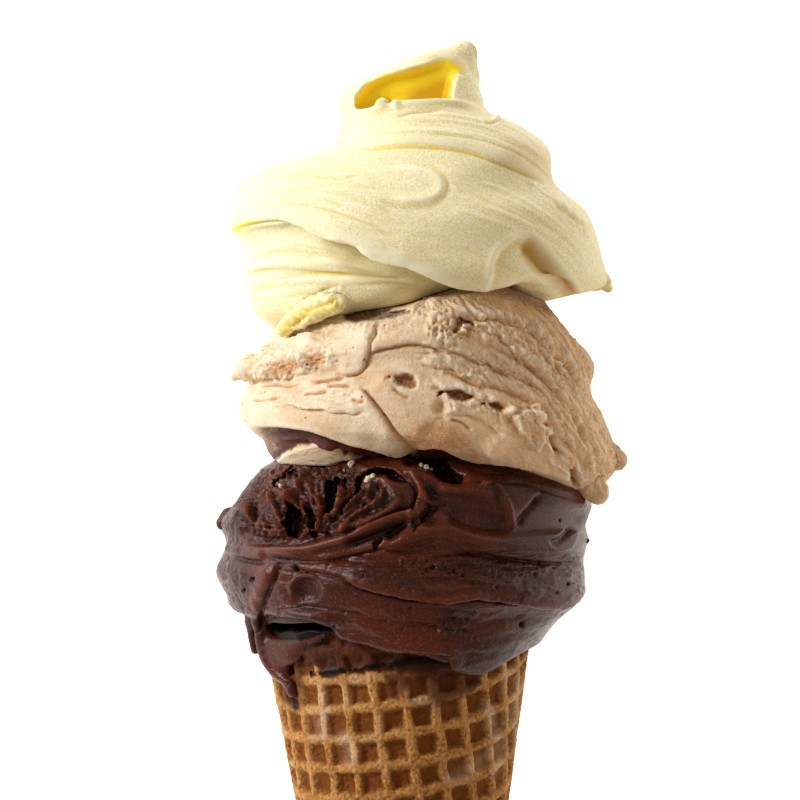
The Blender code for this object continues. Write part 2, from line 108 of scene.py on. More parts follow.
# The rolled cone
CONE_HALF_ANGLE = math.radians(9.45)
CONE_LEAN = math.radians(1.82)
APEX_ACROSS = 4.55
APEX_ALONG = -1.3
RIM_ALONG = 151.0
WAFFLE_PITCH = 5.5
WAFFLE_DEPTH = 1.3
SEAM_ANGLE = math.radians(212)
SEAM_STEP = 1.2
SEAM_MIDDLE = 0.7
LATTICE_TURN = math.radians(16)
TIP_RADIUS = 2.2
TIP_REACH = 2.4
TIP_BULGE = 1.2
CONE_COLUMNS = 370
CONE_ROWS = 250
DENSE_TOP = 0.45
DENSE_FRONT = 0.3
FRONT_COLUMN = (0.25 - SEAM_ANGLE / FULL_TURN) % 1.0

# The waffle's pockets: where a wall starts and ends, as shares of half a cell, how far the lattice
# wanders in cells, and in millimetres its crumbly skin and the height where the tip's relief fades out
WALL_TOP = 0.18
WALL_FOOT = 0.5
LATTICE_DRIFT = 0.34
SKIN_HEIGHT = 0.8
FADE_HEIGHT = 35.0
LEAST_RELIEF = 0.2

# How deep a pocket stays where it is worn, as shares of its depth: the least, and how far that varies
LEAST_DEPTH = 0.4
DEPTH_RANGE = 1.1

# Noise on the flat sheet: its name, its cells' size in millimetres, its detail and its roughness
WAFFLE_NOISES = [
    ("wander", 4.23077, 4.0, 0.5),
    ("crumb", 0.785714, 6.0, 0.75),
    ("worn", 6.875, 2.0, 0.5),
]

# How the flat sheet is laid out and rolled: what each step makes, its operation and its terms. A term in
# quotes is an earlier step, a noise or an input of the tree.
WAFFLE_STEPS = [
    # Columns lie closer towards the shown side, and rows towards the rim
    ("column", "ADD", "x", 0.5),
    ("past the front", "SUBTRACT", "column", FRONT_COLUMN),
    ("around", "MULTIPLY", "past the front", FULL_TURN),
    ("wave", "SINE", "around"),
    ("swing", "ADD", "wave", math.sin(FULL_TURN * FRONT_COLUMN)),
    ("pull", "MULTIPLY", "swing", DENSE_FRONT / FULL_TURN),
    ("rolled", "SUBTRACT", "column", "pull"),
    ("row", "ADD", "y", 0.5),
    ("rows above", "SUBTRACT", 1.0, "row"),
    ("bow", "MULTIPLY", "row", "rows above"),
    ("lift", "MULTIPLY", "bow", DENSE_TOP),
    ("share", "ADD", "row", "lift"),
    ("length", "SUBTRACT", "Rim", "Tip"),
    ("height", "MULTIPLY_ADD", "share", "length", "Tip"),
    # On the flat sheet a place is known by its distance from the apex and its angle
    ("half sine", "SINE", "Half angle"),
    ("sector", "MULTIPLY", "half sine", FULL_TURN),
    ("half cosine", "COSINE", "Half angle"),
    ("slant", "DIVIDE", "height", "half cosine"),
    ("off middle", "SUBTRACT", "rolled", 0.5),
    ("angle", "MULTIPLY", "off middle", "sector"),
    ("turned", "SUBTRACT", "angle", "Lattice turn"),
    ("turned cosine", "COSINE", "turned"),
    ("sheet across", "MULTIPLY", "slant", "turned cosine"),
    ("u", "DIVIDE", "sheet across", "Pitch"),
    ("turned sine", "SINE", "turned"),
    ("sheet along", "MULTIPLY", "slant", "turned sine"),
    ("v", "DIVIDE", "sheet along", "Pitch"),
    # Square pockets with sloping walls, worn unevenly, between ridges with a baked, crumbly skin
    ("wander both ways", "SUBTRACT", "wander", 0.5),
    ("drift", "MULTIPLY", "wander both ways", LATTICE_DRIFT),
    ("u drifted", "ADD", "u", "drift"),
    ("u folded", "PINGPONG", "u drifted", 0.5),
    ("across cell", "MULTIPLY", "u folded", 2.0),
    ("v drifted", "SUBTRACT", "v", "drift"),
    ("v folded", "PINGPONG", "v drifted", 0.5),
    ("along cell", "MULTIPLY", "v folded", 2.0),
    ("inward", "MINIMUM", "across cell", "along cell"),
    ("crumb both ways", "SUBTRACT", "crumb", 0.5),
    ("baked", "MULTIPLY", "crumb both ways", SKIN_HEIGHT),
    ("wear", "MULTIPLY_ADD", "worn", DEPTH_RANGE, LEAST_DEPTH),
    ("worn depth", "MULTIPLY", "wear", "Depth"),
    ("hollow", "MULTIPLY", "sunk", "worn depth"),
    ("relief", "SUBTRACT", "baked", "hollow"),
    # The roll, a little wider at its outer edge, and pressed to a blunt tip
    ("from the seam", "SUBTRACT", "rolled", "Seam middle"),
    ("spiral", "MULTIPLY", "from the seam", "Seam step"),
    ("fade", "DIVIDE", "height", FADE_HEIGHT),
    ("faded", "MAXIMUM", "fade", LEAST_RELIEF),
    ("thin", "MINIMUM", "faded", 1.0),
    ("half tangent", "TANGENT", "Half angle"),
    ("slope", "MULTIPLY", "height", "half tangent"),
    ("blunt", "MULTIPLY", "Tip radius", "Tip radius"),
    ("squared", "MULTIPLY_ADD", "slope", "slope", "blunt"),
    ("straight", "SQRT", "squared"),
    ("raised", "ADD", "relief", "spiral"),
    ("radius", "MULTIPLY_ADD", "raised", "thin", "straight"),
    ("turn", "MULTIPLY_ADD", "rolled", FULL_TURN, "Seam turn"),
    ("turn cosine", "COSINE", "turn"),
    ("side", "MULTIPLY", "radius", "turn cosine"),
    ("turn sine", "SINE", "turn"),
    ("deep", "MULTIPLY", "radius", "turn sine"),
    # The lean, and the place in metres
    ("lean cosine", "COSINE", "Lean"),
    ("lean sine", "SINE", "Lean"),
    ("side leant", "MULTIPLY", "side", "lean cosine"),
    ("height leant", "MULTIPLY", "height", "lean sine"),
    ("across", "SUBTRACT", "side leant", "height leant"),
    ("height kept", "MULTIPLY", "height", "lean cosine"),
    ("side raised", "MULTIPLY", "side", "lean sine"),
    ("along", "ADD", "height kept", "side raised"),
    ("across placed", "ADD", "across", "Apex across"),
    ("place across", "MULTIPLY", "across placed", MM),
    ("along placed", "ADD", "along", "Apex along"),
    ("place along", "MULTIPLY", "along placed", MM),
    ("deep placed", "ADD", "deep", "Axis height"),
    ("place deep", "MULTIPLY", "deep placed", MM),
]

# A station is one ring of a layer: its line across the shown side as (across, along) points from the
# left outline to the right one, then the ring's depth at the front and at the back
LEMON_STATIONS = [
    ([(0.5, 253.4), (6.0, 254.8), (13.0, 253.0)], 4.5, 5.0),
    ([(-10.4, 248.0), (2.0, 247.5), (15.2, 247.0)], 11.5, 13.0),
    ([(-11.2, 241.8), (2.0, 244.6), (16.4, 244.0)], 14.0, 14.5),
    ([(-13.2, 236.9), (2.0, 239.6), (22.0, 241.4)], 18.5, 19.5),
    ([(-19.6, 235.2), (4.0, 233.6), (27.4, 237.2)], 24.0, 24.5),
    ([(-29.3, 231.3), (0.0, 228.4), (28.7, 230.6)], 29.5, 29.5),
    ([(-31.8, 225.2), (0.0, 223.4), (34.7, 225.0)], 32.6, 33.2),
    ([(-31.4, 222.2), (-15.0, 222.6), (0.0, 218.6), (37.5, 216.5)], 33.6, 34.6),
    ([(-29.9, 220.3), (-20.0, 222.4), (-10.0, 220.6), (0.0, 216.5), (12.0, 214.1), (38.4, 212)], 33, 34.6),
    ([(-29.2, 218.4), (-20.0, 220.4), (-10.0, 218.6), (0.0, 214.8), (12.0, 213.0), (34.4, 210.4)], 30.2, 31),
    ([(-29.0, 214.4), (-14.0, 215.4), (0.0, 213.4), (12.0, 212.9), (32.0, 210.0)], 29.4, 29.5),
    ([(-27.4, 207.4), (-12.0, 209.0), (0.0, 210.4), (12.0, 212.7), (29.5, 209.4)], 27.4, 27.0),
    ([(-23.7, 203.9), (-10.2, 206.5), (0.0, 208.0), (9.2, 210.9), (16.6, 212.3), (26.8, 209.0)], 23.6, 24.0),
]
HAZELNUT_STATIONS = [
    LEMON_STATIONS[-1],
    ([(-25.4, 199.6), (-14.0, 202.8), (0.0, 206.0), (5.0, 208.0), (12.0, 208.8), (19.6, 207.6), (31, 203)],
     28, 28),
    ([(-29.9, 196.2), (-14.0, 198.6), (0.0, 201.4), (16.0, 202.4), (35.6, 197.4)], 31.2, 32.6),
    ([(-28.0, 193.6), (-14.0, 194.6), (0.0, 196.8), (16.0, 195.0), (35.2, 192.4)], 31.0, 33.0),
    ([(-29.9, 189.6), (-12.0, 190.0), (0.0, 190.6), (16.0, 189.0), (37.6, 187.2)], 32.6, 34.6),
    ([(-28.6, 186.0), (-12.0, 186.0), (0.0, 185.2), (16.0, 184.4), (39.6, 182.0)], 32.2, 34.6),
    ([(-25.6, 183.6), (-12.0, 182.6), (0.0, 183.2), (16.0, 181.4), (40.4, 178.8)], 29.4, 33.0),
    ([(-24.5, 181.2), (-12.0, 180.8), (0.0, 182.2), (16.0, 180.2), (38.2, 175.6)], 26.4, 29.0),
    ([(-23.4, 179.6), (-12.0, 179.4), (0.0, 181.2), (16.0, 179.2), (26.0, 176.6), (35.2, 172.5)], 24, 26),
]
CHOCOLATE_STATIONS = [
    HAZELNUT_STATIONS[-1],
    ([(-26.9, 176.6), (-12.0, 177.2), (0.0, 177.8), (16.0, 175.6), (35.4, 170.6)], 28.0, 30.0),
    ([(-31.0, 171.0), (-14.0, 172.0), (0.0, 172.6), (16.0, 171.4), (34.3, 167.4)], 31.4, 33.0),
    ([(-33.4, 168.0), (-14.0, 167.0), (0.0, 167.2), (16.0, 166.6), (34.8, 164.8)], 33.0, 34.6),
    ([(-32.1, 164.0), (0.0, 162.4), (34.0, 161.4)], 32.2, 34.4),
    ([(-34.0, 159.0), (0.0, 157.4), (34.2, 157.4)], 33.0, 34.6),
    ([(-32.2, 154.6), (0.0, 152.8), (34.1, 154.6)], 32.4, 33.0),
    ([(-31.0, 152.0), (-12.0, 150.6), (0.0, 149.0), (32.0, 152.2)], 31.0, 31.0),
    ([(-27.4, 150.6), (-12.0, 149.6), (0.0, 146.9), (12.0, 143.4), (28.4, 149.0)], 29.6, 29.4),
    ([(-26.8, 149.0), (-11.0, 148.6), (0.0, 145.8), (12.0, 141.8), (19.0, 143.2), (25.8, 145.6)], 28, 28.2),
    ([(-26.2, 149.8), (-11.0, 149.8), (0.0, 147.0), (12.0, 143.0), (19.0, 144.2), (25.4, 146.8)], 26.4, 27),
]
LEMON_TOP = (10.6, 256.6, -1.0)
LEMON_FOOT = (1.5, 207.0, 0.0)
HAZELNUT_FOOT = (5.0, 177.5, 0.0)
CHOCOLATE_FOOT = (0.0, 144.0, 0.0)

# Limbs that stand out from a layer, as points across, along and deep with a radius
LEMON_LIMBS = [
    [(8.5, 246.0, 0.0, 5.2), (10.4, 250.0, -0.8, 4.4), (11.2, 252.8, -1.0, 3.5), (11.9, 254.6, -1.0, 2.6)],
    [(34.0, 214.0, 3.0, 3.6), (37.4, 212.2, 3.4, 1.9), (38.4, 211.2, 3.6, 0.9)],
    [(-21.6, 203.1, 14.8, 0.8), (-19.4, 205.0, 18.0, 1.4), (-16.3, 206.6, 21.4, 1.7),
     (-13.0, 207.8, 24.0, 1.8), (-10.8, 208.6, 25.0, 1.2)],
]
HAZELNUT_LIMBS = [
    [(-27.6, 196.6, 5.0, 2.4), (-29.4, 195.6, 6.0, 1.6), (-30.4, 194.9, 6.0, 0.9)],
    [(37.6, 180.6, 4.0, 3.0), (40.0, 179.6, 4.6, 1.9)],
    [(34.4, 175.6, 8.0, 3.2), (36.4, 173.2, 8.6, 2.0)],
    [(23.2, 189.5, 23.6, 2.0), (23.6, 186.0, 24.2, 2.6), (22.6, 181.4, 23.8, 1.8)],
]
CHOCOLATE_LIMBS = [
    [(-25.2, 153.0, 11.0, 1.4), (-25.4, 149.0, 9.5, 1.4), (-25.0, 146.0, 9.0, 1.6), (-23.8, 143.4, 9.2, 2.0),
     (-22.0, 141.2, 10.4, 2.1), (-20.3, 139.0, 12.2, 1.4), (-19.6, 137.2, 12.8, 1.2)],
    [(-24.6, 146.0, 8.4, 1.3), (-21.0, 146.2, 13.4, 1.4), (-17.0, 146.6, 17.6, 1.2),
     (-13.4, 147.6, 20.6, 0.9)],
    [(-24.0, 144.4, 8.8, 1.5), (-20.6, 144.4, 13.7, 1.6), (-17.4, 145.0, 17.0, 1.2)],
    [(-23.0, 142.8, 9.6, 1.6), (-20.4, 142.8, 13.6, 1.5), (-18.8, 143.4, 15.4, 1.2)],
    [(-27.0, 152.4, 8.0, 1.5), (-27.1, 147.8, 7.2, 1.0), (-26.6, 144.6, 7.0, 0.9)],
    [(-31.4, 168.9, 3.0, 1.9), (-32.7, 167.8, 3.4, 1.3)],
    [(33.2, 165.0, 3.0, 1.4), (34.5, 164.6, 3.2, 0.5)],
]

# Relief on the shown side: what it is, its kind, its settings and its path. Widths and edges are in
# pixels, heights and depths in millimetres. A fold is high to the left of its path's way and falls away
# to the right.
LEMON_FORMS = {
    "lip of the curl": (
        "ridge",
        {"width": 4, "height": 0.9},
        [(352, 108), (362, 113), (376, 112), (396, 107.5), (414, 106), (437, 105.5), (460, 107), (484, 112)],
    ),
    "neck over the collar": (
        "fold",
        {"width": 26, "height": 0.8, "edge": 1.6, "overhang": 0.5},
        [(352, 150), (366, 149.5), (385, 148.5), (405, 147.8), (420, 148), (445, 150), (472, 155), (500, 165),
         (530, 177), (556, 191)],
    ),
    "hook of the tongue": (
        "fold",
        {"width": 8, "height": 0.55, "edge": 3.0, "overhang": 0.2, "crease": 0.35},
        [(384, 203), (400, 206.5), (414, 207), (430, 204), (440, 197), (442, 187), (435, 178), (421, 173),
         (404, 170.5), (388, 169)],
    ),
    "shade under the tongue": (
        "ridge",
        {"width": 10, "height": -0.25},
        [(375, 207), (398, 214), (422, 216), (444, 210), (456, 196)],
    ),
    "hollow of the tongue": (
        "bed",
        {"height": -0.2, "edge": 12},
        [(372, 179), (398, 177), (425, 180), (434, 190), (424, 198), (400, 199), (376, 192)],
    ),
    "lip of the collar": (
        "fold",
        {"width": 20, "height": 1.0, "edge": 1.8, "overhang": 0.7, "crease": 0.5},
        [(226, 233), (240, 227), (254, 222), (278, 220), (294, 223), (320, 230), (343, 234.5), (362, 242),
         (385, 254), (404, 260.5), (425, 268), (457, 278), (480, 281), (501, 283), (526, 285), (560, 292)],
    ),
    "sharper edge of the lip": (
        "fold",
        {"width": 7, "height": 0.8, "edge": 1.5, "overhang": 0.7, "crease": 1.1, "ragged": 0.8},
        [(306, 226), (320, 230), (343, 234.5), (362, 242), (385, 254), (404, 260.5), (425, 268), (457, 278),
         (480, 281), (501, 283), (530, 287)],
    ),
    "second edge of the lip": (
        "fold",
        {"width": 9, "height": 0.5, "edge": 1.3, "overhang": 0.3},
        [(316, 226), (334, 230), (352, 239), (372, 248), (396, 256), (420, 262)],
    ),
    "groove of the lower band": (
        "fold",
        {"width": 10, "height": 0.6, "edge": 1.8, "overhang": 0.3},
        [(240, 272), (258, 269), (284, 268), (317, 271), (347, 274), (380, 278), (410, 281)],
    ),
    "upper swell of the lower band": (
        "ridge",
        {"width": 9, "height": 0.5},
        [(244, 252), (275, 243), (305, 245), (335, 254), (362, 265)],
    ),
    "low groove of the band": (
        "ridge",
        {"width": 3, "height": -0.35},
        [(247, 292), (275, 289), (310, 287), (345, 286)],
    ),
    "scooped dimple": (
        "bed",
        {"height": -0.7, "edge": 12},
        [(488, 281), (491, 266), (498, 253), (510, 243), (530, 244), (548, 262), (570, 292), (540, 289),
         (510, 285)],
    ),
    "rim of the dimple": (
        "ridge",
        {"width": 4.0, "height": 0.4},
        [(486, 282), (487, 275), (489.5, 265), (495, 255), (502, 248), (510, 241), (520, 235)],
    ),
    "wedge of the dimple": (
        "fold",
        {"width": 12, "height": -1.6, "edge": 3.4, "overhang": 0.3, "crease": 0.1},
        [(590, 310), (578, 298), (560, 278), (546, 262), (534, 249), (522, 240)],
    ),
    "crack on the shoulder": (
        "fold",
        {"width": 8, "height": 0.5, "edge": 1.3, "overhang": 0.3},
        [(548, 199), (562, 212), (574, 220), (586, 229)],
    ),
    "shade under the chip": ("ridge", {"width": 1.6, "height": -0.5}, [(482, 126), (491, 126), (500, 122)]),
    "chip on the neck": ("bump", {"radius": 4.5, "height": 0.8}, [(496, 121)]),
    "chip on the shoulder": ("bump", {"radius": 2.6, "height": 0.6}, [(559, 208)]),
    "small chip": ("bump", {"radius": 3, "height": 0.5}, [(531, 187)]),
    "bead on the lip": ("bump", {"radius": 5.0, "height": 1.6}, [(383, 107)]),
    "lump by the bead": ("bump", {"radius": 4, "height": 0.8}, [(397, 109)]),
    "torn edge of the flake": (
        "fold",
        {"width": 7, "height": 0.6, "edge": 1.6, "overhang": 0.6, "crease": 0.8, "ragged": 2.5},
        [(346, 288), (330, 294), (312, 303), (298, 313), (287, 323), (276, 334)],
    ),
    "second edge of the flake": (
        "fold",
        {"width": 6, "height": 0.4, "edge": 1.5, "overhang": 0.5, "crease": 0.8, "ragged": 2.0},
        [(346, 301), (332, 308), (316, 314), (300, 326), (290, 334)],
    ),
}
LEMON_CRAGS = {
    "torn flake": (
        {"size": 0.9, "height": 0.6, "edge": 6, "seed": 31},
        [(276, 334), (288, 314), (310, 299), (345, 288), (350, 306), (344, 324), (312, 328), (290, 340)],
    ),
    "chipped shoulder": (
        {"size": 1.2, "height": 0.3, "edge": 8, "seed": 32},
        [(545, 196), (572, 208), (590, 232), (584, 240), (562, 220), (545, 206)],
    ),
}
FLAKE_YELLOW = [(280, 336), (292, 325), (310, 314), (330, 309), (344, 300)]
LEMON_LINES = {
    "lines round the neck": (
        {"count": 14, "width": 1.4, "height": 0.2, "seed": 5},
        [(372, 120), (400, 114), (440, 113), (480, 119), (520, 134), (550, 158)],
        [(350, 144), (380, 142), (420, 140), (470, 146), (520, 163), (553, 186)],
    ),
    "grooves under the lip of the curl": (
        {"count": 2, "width": 1.4, "height": -0.4, "seed": 6},
        [(394, 118), (414, 114), (437, 113), (468, 115)],
        [(398, 121), (418, 117), (440, 116), (476, 119)],
    ),
    "lines over the collar": (
        {"count": 12, "width": 1.4, "height": 0.14, "seed": 7},
        [(460, 160), (510, 173), (552, 198), (586, 230), (602, 262)],
        [(440, 215), (470, 222), (505, 232), (545, 250), (590, 290)],
    ),
    "lines left of the tongue": (
        {"count": 14, "width": 2.0, "height": 0.18, "seed": 8},
        [(250, 178), (290, 168), (330, 166), (370, 172), (400, 182)],
        [(240, 222), (285, 212), (330, 218), (380, 238), (430, 262)],
    ),
    "lines of the lower band": (
        {"count": 16, "width": 2.0, "height": 0.2, "seed": 9},
        [(244, 240), (275, 230), (310, 238), (350, 252), (400, 270), (440, 284)],
        [(250, 312), (280, 306), (320, 298), (360, 290), (400, 288), (440, 288)],
    ),
}
CURL_HOLLOW = [
    (354, 97), (356, 107), (362, 111), (372, 111), (376, 108), (377.5, 102.5), (383, 100), (388.5, 102.5),
    (390, 107.5), (405, 105.5), (424, 104), (441, 103), (450, 102), (454, 91), (459, 79), (468, 74),
    (471, 71), (459, 63), (447, 57), (436, 60), (424, 65), (399, 71), (383, 74.5), (373, 79), (363, 85),
]
CURL_SCOOP = [
    (353, 97), (350, 130), (400, 130), (450, 130), (453, 104), (455, 91), (460, 79), (470, 74), (473, 70),
    (460, 61), (447, 55), (436, 58), (424, 63), (399, 69), (383, 72.5), (373, 77), (363, 83),
]
# The curl's hollow slopes in over this many pixels, to a floor this many millimetres above the axis
CURL_RAMP = 13
CURL_FLOOR = 5.0
PEAK = [(425, 70), (430, 45), (470, 30), (490, 60), (490, 110), (440, 110)]
# Painted shade, a brownish amber, in the dimple's wedge and on the neck's right: strength, edge and patch
AMBER_SHADES = [
    (0.75, 10, [(518, 246), (530, 241), (543, 253), (558, 271), (582, 299), (571, 304), (552, 290),
                (530, 270)]),
    (0.3, 16, [(505, 140), (552, 158), (553, 186), (530, 176), (500, 160)]),
]
# Painted shade on the lower band, just under the collar's lip
BAND_SHADE = [
    (322, 240), (332, 238), (346, 243), (372, 255), (400, 264), (425, 272), (450, 282), (458, 290),
    (450, 297), (425, 298), (398, 293), (368, 283), (342, 267), (326, 252),
]
# Painted shade, a deeper ochre, at the lower right of the curl's hollow
OCHRE_SHADE = [(402, 106), (414, 92), (430, 84), (446, 80), (455, 86), (452, 104), (430, 108)]
# Painted shade, a deep yellow, under the lip's left end and in the neck's crease
LIP_SHADE = [(232, 233), (237, 230), (242, 227), (248, 225), (254, 223), (262, 222.5)]
NECK_CREASE_SHADE = [(366, 150), (385, 149.5), (405, 148.6), (420, 149), (445, 151.5), (472, 156.5), (500, 166)]
LEMON_FLOW = [(230, 8), (330, -4), (400, 0), (470, 8), (520, 30), (560, 60), (605, 105)]

HAZELNUT_FORMS = {
    "left edge of the flap": (
        "fold",
        {"width": 12, "height": 0.7, "edge": 1.5, "overhang": 0.4, "crease": 0.8, "ragged": 3.0},
        [(243, 377), (258, 376), (272, 376), (286, 376), (300, 374)],
    ),
    "right edge of the flap": (
        "fold",
        {"width": 14, "height": 0.8, "edge": 1.6, "overhang": 0.4, "crease": 0.9, "ragged": 2.4},
        [(334, 373), (350, 373.5), (360, 370), (367, 359), (369, 346), (374, 334), (378, 322)],
    ),
    "crack beside the flap": (
        "fold",
        {"width": 14, "height": 0.7, "edge": 1.4, "overhang": 0.4, "crease": 1.2, "ragged": 1.0},
        [(366, 356), (378, 350), (390, 347), (411, 343.5), (430, 346), (446, 352)],
    ),
    "left hollow of the flap": (
        "bed",
        {"height": -1.2, "edge": 8, "ragged": 3.0},
        [(272, 364), (282, 359), (296, 358), (302, 364), (296, 373), (282, 375), (272, 371)],
    ),
    "right hollow of the flap": (
        "bed",
        {"height": -1.1, "edge": 8, "ragged": 2.6},
        [(308, 354), (318, 351), (326, 354), (325, 364), (316, 367), (308, 362)],
    ),
    "lump by the hollows": ("bump", {"radius": 5, "height": 1.4}, [(304, 361)]),
    "lump on the outline": ("bump", {"radius": 7, "height": 1.2}, [(248, 369)]),
    "lump above the hollows": ("bump", {"radius": 6, "height": 0.8}, [(266, 352)]),
    "lump below the lemon flake": ("bump", {"radius": 8, "height": 0.9}, [(310, 338)]),
    "low crack of the left lobe": (
        "fold",
        {"width": 10, "height": 0.6, "edge": 1.3, "overhang": 0.5, "crease": 0.9, "ragged": 1.5},
        [(286, 401), (300, 405), (314, 407), (330, 409), (350, 411), (368, 410)],
    ),
    "swell of the left lobe": (
        "ridge",
        {"width": 10, "height": 0.7},
        [(245, 412), (275, 413), (310, 415), (345, 422), (380, 434)],
    ),
    "foot of the left lobe": (
        "fold",
        {"width": 11, "height": 1.1, "edge": 2.0, "overhang": 0.7, "crease": 1.0},
        [(238, 418), (255, 420), (270, 421), (288, 421), (314, 425), (330, 430), (348, 436.5), (377, 444),
         (405, 449.5), (415, 452)],
    ),
    "crease between the lobes": (
        "fold",
        {"width": 13, "height": 0.8, "edge": 1.4, "overhang": 0.4, "crease": 1.0},
        [(411, 449), (403, 441), (394, 434), (388, 425), (381.5, 415), (373, 404), (365, 394), (357, 387)],
    ),
    "foot of the middle lobe": (
        "fold",
        {"width": 12, "height": 0.8, "edge": 1.8, "overhang": 0.6, "crease": 0.6},
        [(409, 449), (420, 445), (441, 444.5), (459, 453), (474, 457.5), (506, 461), (541, 468), (571, 479),
         (590, 497)],
    ),
    "brow over the hole": (
        "ridge",
        {"width": 5, "height": 0.4, "ragged": 1.5},
        [(364, 371), (380, 371), (394, 370), (408, 371), (418, 378), (421, 390)],
    ),
    "swell left of the pit": (
        "ridge",
        {"width": 12, "height": 0.6},
        [(372, 378), (392, 395), (410, 415), (430, 432)],
    ),
    "edge above the slots": (
        "fold",
        {"width": 7, "height": 0.7, "edge": 1.5, "overhang": 0.5, "crease": 0.6, "ragged": 2.0},
        [(428, 385), (446, 389), (460, 389), (473, 394), (486, 400), (502, 405)],
    ),
    "round pit": ("bump", {"radius": 7, "height": -1.3}, [(440, 408)]),
    "fold below the slits": (
        "fold",
        {"width": 8, "height": 0.6, "edge": 1.5, "overhang": 0.4, "ragged": 2.0},
        [(430, 417), (450, 412), (470, 414), (490, 424), (505, 436)],
    ),
    "hanging flake": (
        "bed",
        {"height": 1.3, "edge": 4, "ragged": 1.6},
        [(510, 416), (520, 411), (532, 412), (539, 418), (539, 432), (537, 446), (533, 449), (526, 444),
         (522, 436), (514, 428)],
    ),
    "lump by the flake": ("bump", {"radius": 5, "height": 1.5}, [(508, 411)]),
    "lump above the flake": ("bump", {"radius": 5, "height": 1.0}, [(533, 406)]),
    "slot right of the flake": (
        "ridge",
        {"width": 3.2, "height": -2.8},
        [(549, 433), (551, 439), (554, 447), (558, 456)],
    ),
    "low slot": ("ridge", {"width": 2.8, "height": -2.4}, [(567, 464), (570, 470), (574, 480), (577, 486)]),
    "small slot": ("ridge", {"width": 2.0, "height": -1.4}, [(534, 420), (540, 424), (547, 424)]),
    "crest of the middle lobe": (
        "ridge",
        {"width": 7, "height": 0.9},
        [(510, 430), (496, 441), (483, 453)],
    ),
    "lowest long fold": (
        "fold",
        {"width": 9, "height": 0.7, "edge": 1.8, "overhang": 0.5, "crease": 0.8, "ragged": 3.0},
        [(414, 364), (430, 365), (448, 367), (472, 378), (502, 388.5), (523, 397), (541, 406), (549.5, 419),
         (558, 434), (580, 455.5), (592, 476)],
    ),
    "middle long fold": (
        "fold",
        {"width": 9, "height": 0.55, "edge": 2.0, "overhang": 0.5, "crease": 0.8, "ragged": 4.0},
        [(430, 350), (455, 352), (480, 360), (508, 372), (534, 388), (552, 408), (566, 428), (582, 450),
         (596, 478)],
    ),
    "upper long fold": (
        "fold",
        {"width": 9, "height": 0.75, "edge": 2.0, "overhang": 0.5, "crease": 0.9, "ragged": 4.0},
        [(470, 328), (498, 337), (515, 354), (536, 371), (548, 386), (558, 401.5), (575, 423), (592, 449),
         (606, 470)],
    ),
    "top fold": (
        "fold",
        {"width": 8, "height": 0.85, "edge": 2.0, "overhang": 0.5, "crease": 0.9, "ragged": 4.0},
        [(438, 316), (463, 317), (485, 318), (506, 322), (532, 335), (556, 356), (572, 376), (584, 402)],
    ),
    "outer fold": (
        "fold",
        {"width": 8, "height": 0.6, "edge": 1.8, "overhang": 0.5, "crease": 0.6, "ragged": 3.0},
        [(556, 326), (578, 350), (588, 376), (594, 402), (606, 430)],
    ),
    "cream tongue": (
        "bed",
        {"height": 0.8, "edge": 4},
        [(275, 461), (293, 449), (314, 442.5), (331, 441.5), (346, 450), (356, 457), (344, 458), (331, 462),
         (314, 466), (299, 467), (285, 468)],
    ),
}
# Cracks, grooved and painted a warm brown as painted shade
HAZELNUT_CRACKS = [
    [(255, 400), (264, 401.5), (272, 400), (281, 398)],
    [(306, 395), (318, 394), (330, 391.5)],
    [(312, 383), (326, 382), (336, 380), (347, 378.5)],
    [(353, 399), (360, 402), (367, 402)],
    [(328, 388), (340, 386), (352, 388)],
    [(262, 388), (276, 386), (292, 387), (304, 385)],
    [(290, 337), (302, 334), (318, 334)],
    [(440, 372), (456, 377), (470, 384), (488, 392)],
    [(392, 388), (402, 396), (410, 398)],
    [(448, 420), (460, 422), (470, 430)],
]
HAZELNUT_HOLES = {
    "hole under the brow": (
        -1.5,
        [(394, 377), (401, 375.5), (408, 377), (414, 382), (416, 387), (410, 388), (401, 386), (396, 382)],
    ),
    "long slot": (-2.0, [(445, 391), (456, 390.5), (466, 393), (472, 397), (463, 400.5), (451, 398.5)]),
    "second slit": (-1.8, [(487, 403), (494, 403), (501, 408), (497, 411), (489, 408)]),
    "pocket under the lemon": (
        -2.2,
        [(452, 323), (458, 320), (466, 322), (471, 326), (467, 328), (461, 327), (457, 332), (453, 335),
         (451, 329)],
    ),
    "crevice under the lemon": (
        -2.6,
        [(343, 313), (358, 310), (378, 311), (396, 312.5), (408, 313.5), (407, 316), (396, 318), (378, 321),
         (358, 323), (347, 320)],
    ),
}
HAZELNUT_LINES = {
    "ridges of the right side": (
        {"count": 20, "width": 1.5, "height": 0.3, "seed": 12, "ragged": 3.0},
        [(500, 312), (545, 335), (575, 366), (594, 402), (606, 436), (604, 475)],
        [(418, 356), (453, 362), (488, 376), (515, 392), (543, 412), (559, 438), (572, 468)],
    ),
    "ridges of the foot": (
        {"count": 7, "width": 2.4, "height": 0.35, "seed": 13, "ragged": 1.6},
        [(556, 400), (575, 430), (592, 462), (600, 486)],
        [(500, 442), (530, 455), (560, 470), (584, 490)],
    ),
    "lines of the flap": (
        {"count": 8, "width": 2.2, "height": 0.3, "seed": 14, "ragged": 1.2},
        [(268, 338), (300, 332), (335, 330), (368, 328)],
        [(250, 374), (285, 368), (320, 360), (362, 352)],
    ),
    "lines of the left lobe": (
        {"count": 9, "width": 1.8, "height": 0.3, "seed": 15, "ragged": 1.2},
        [(248, 386), (285, 382), (320, 380), (356, 384)],
        [(246, 406), (280, 407), (320, 410), (372, 422)],
    ),
    "striped smear": (
        {"count": 8, "width": 2.0, "height": 0.8, "seed": 16},
        [(282, 429), (314, 431), (338, 440), (359, 446), (405, 455)],
        [(277, 452), (308, 442), (327, 440), (348, 449), (390, 464)],
    ),
}
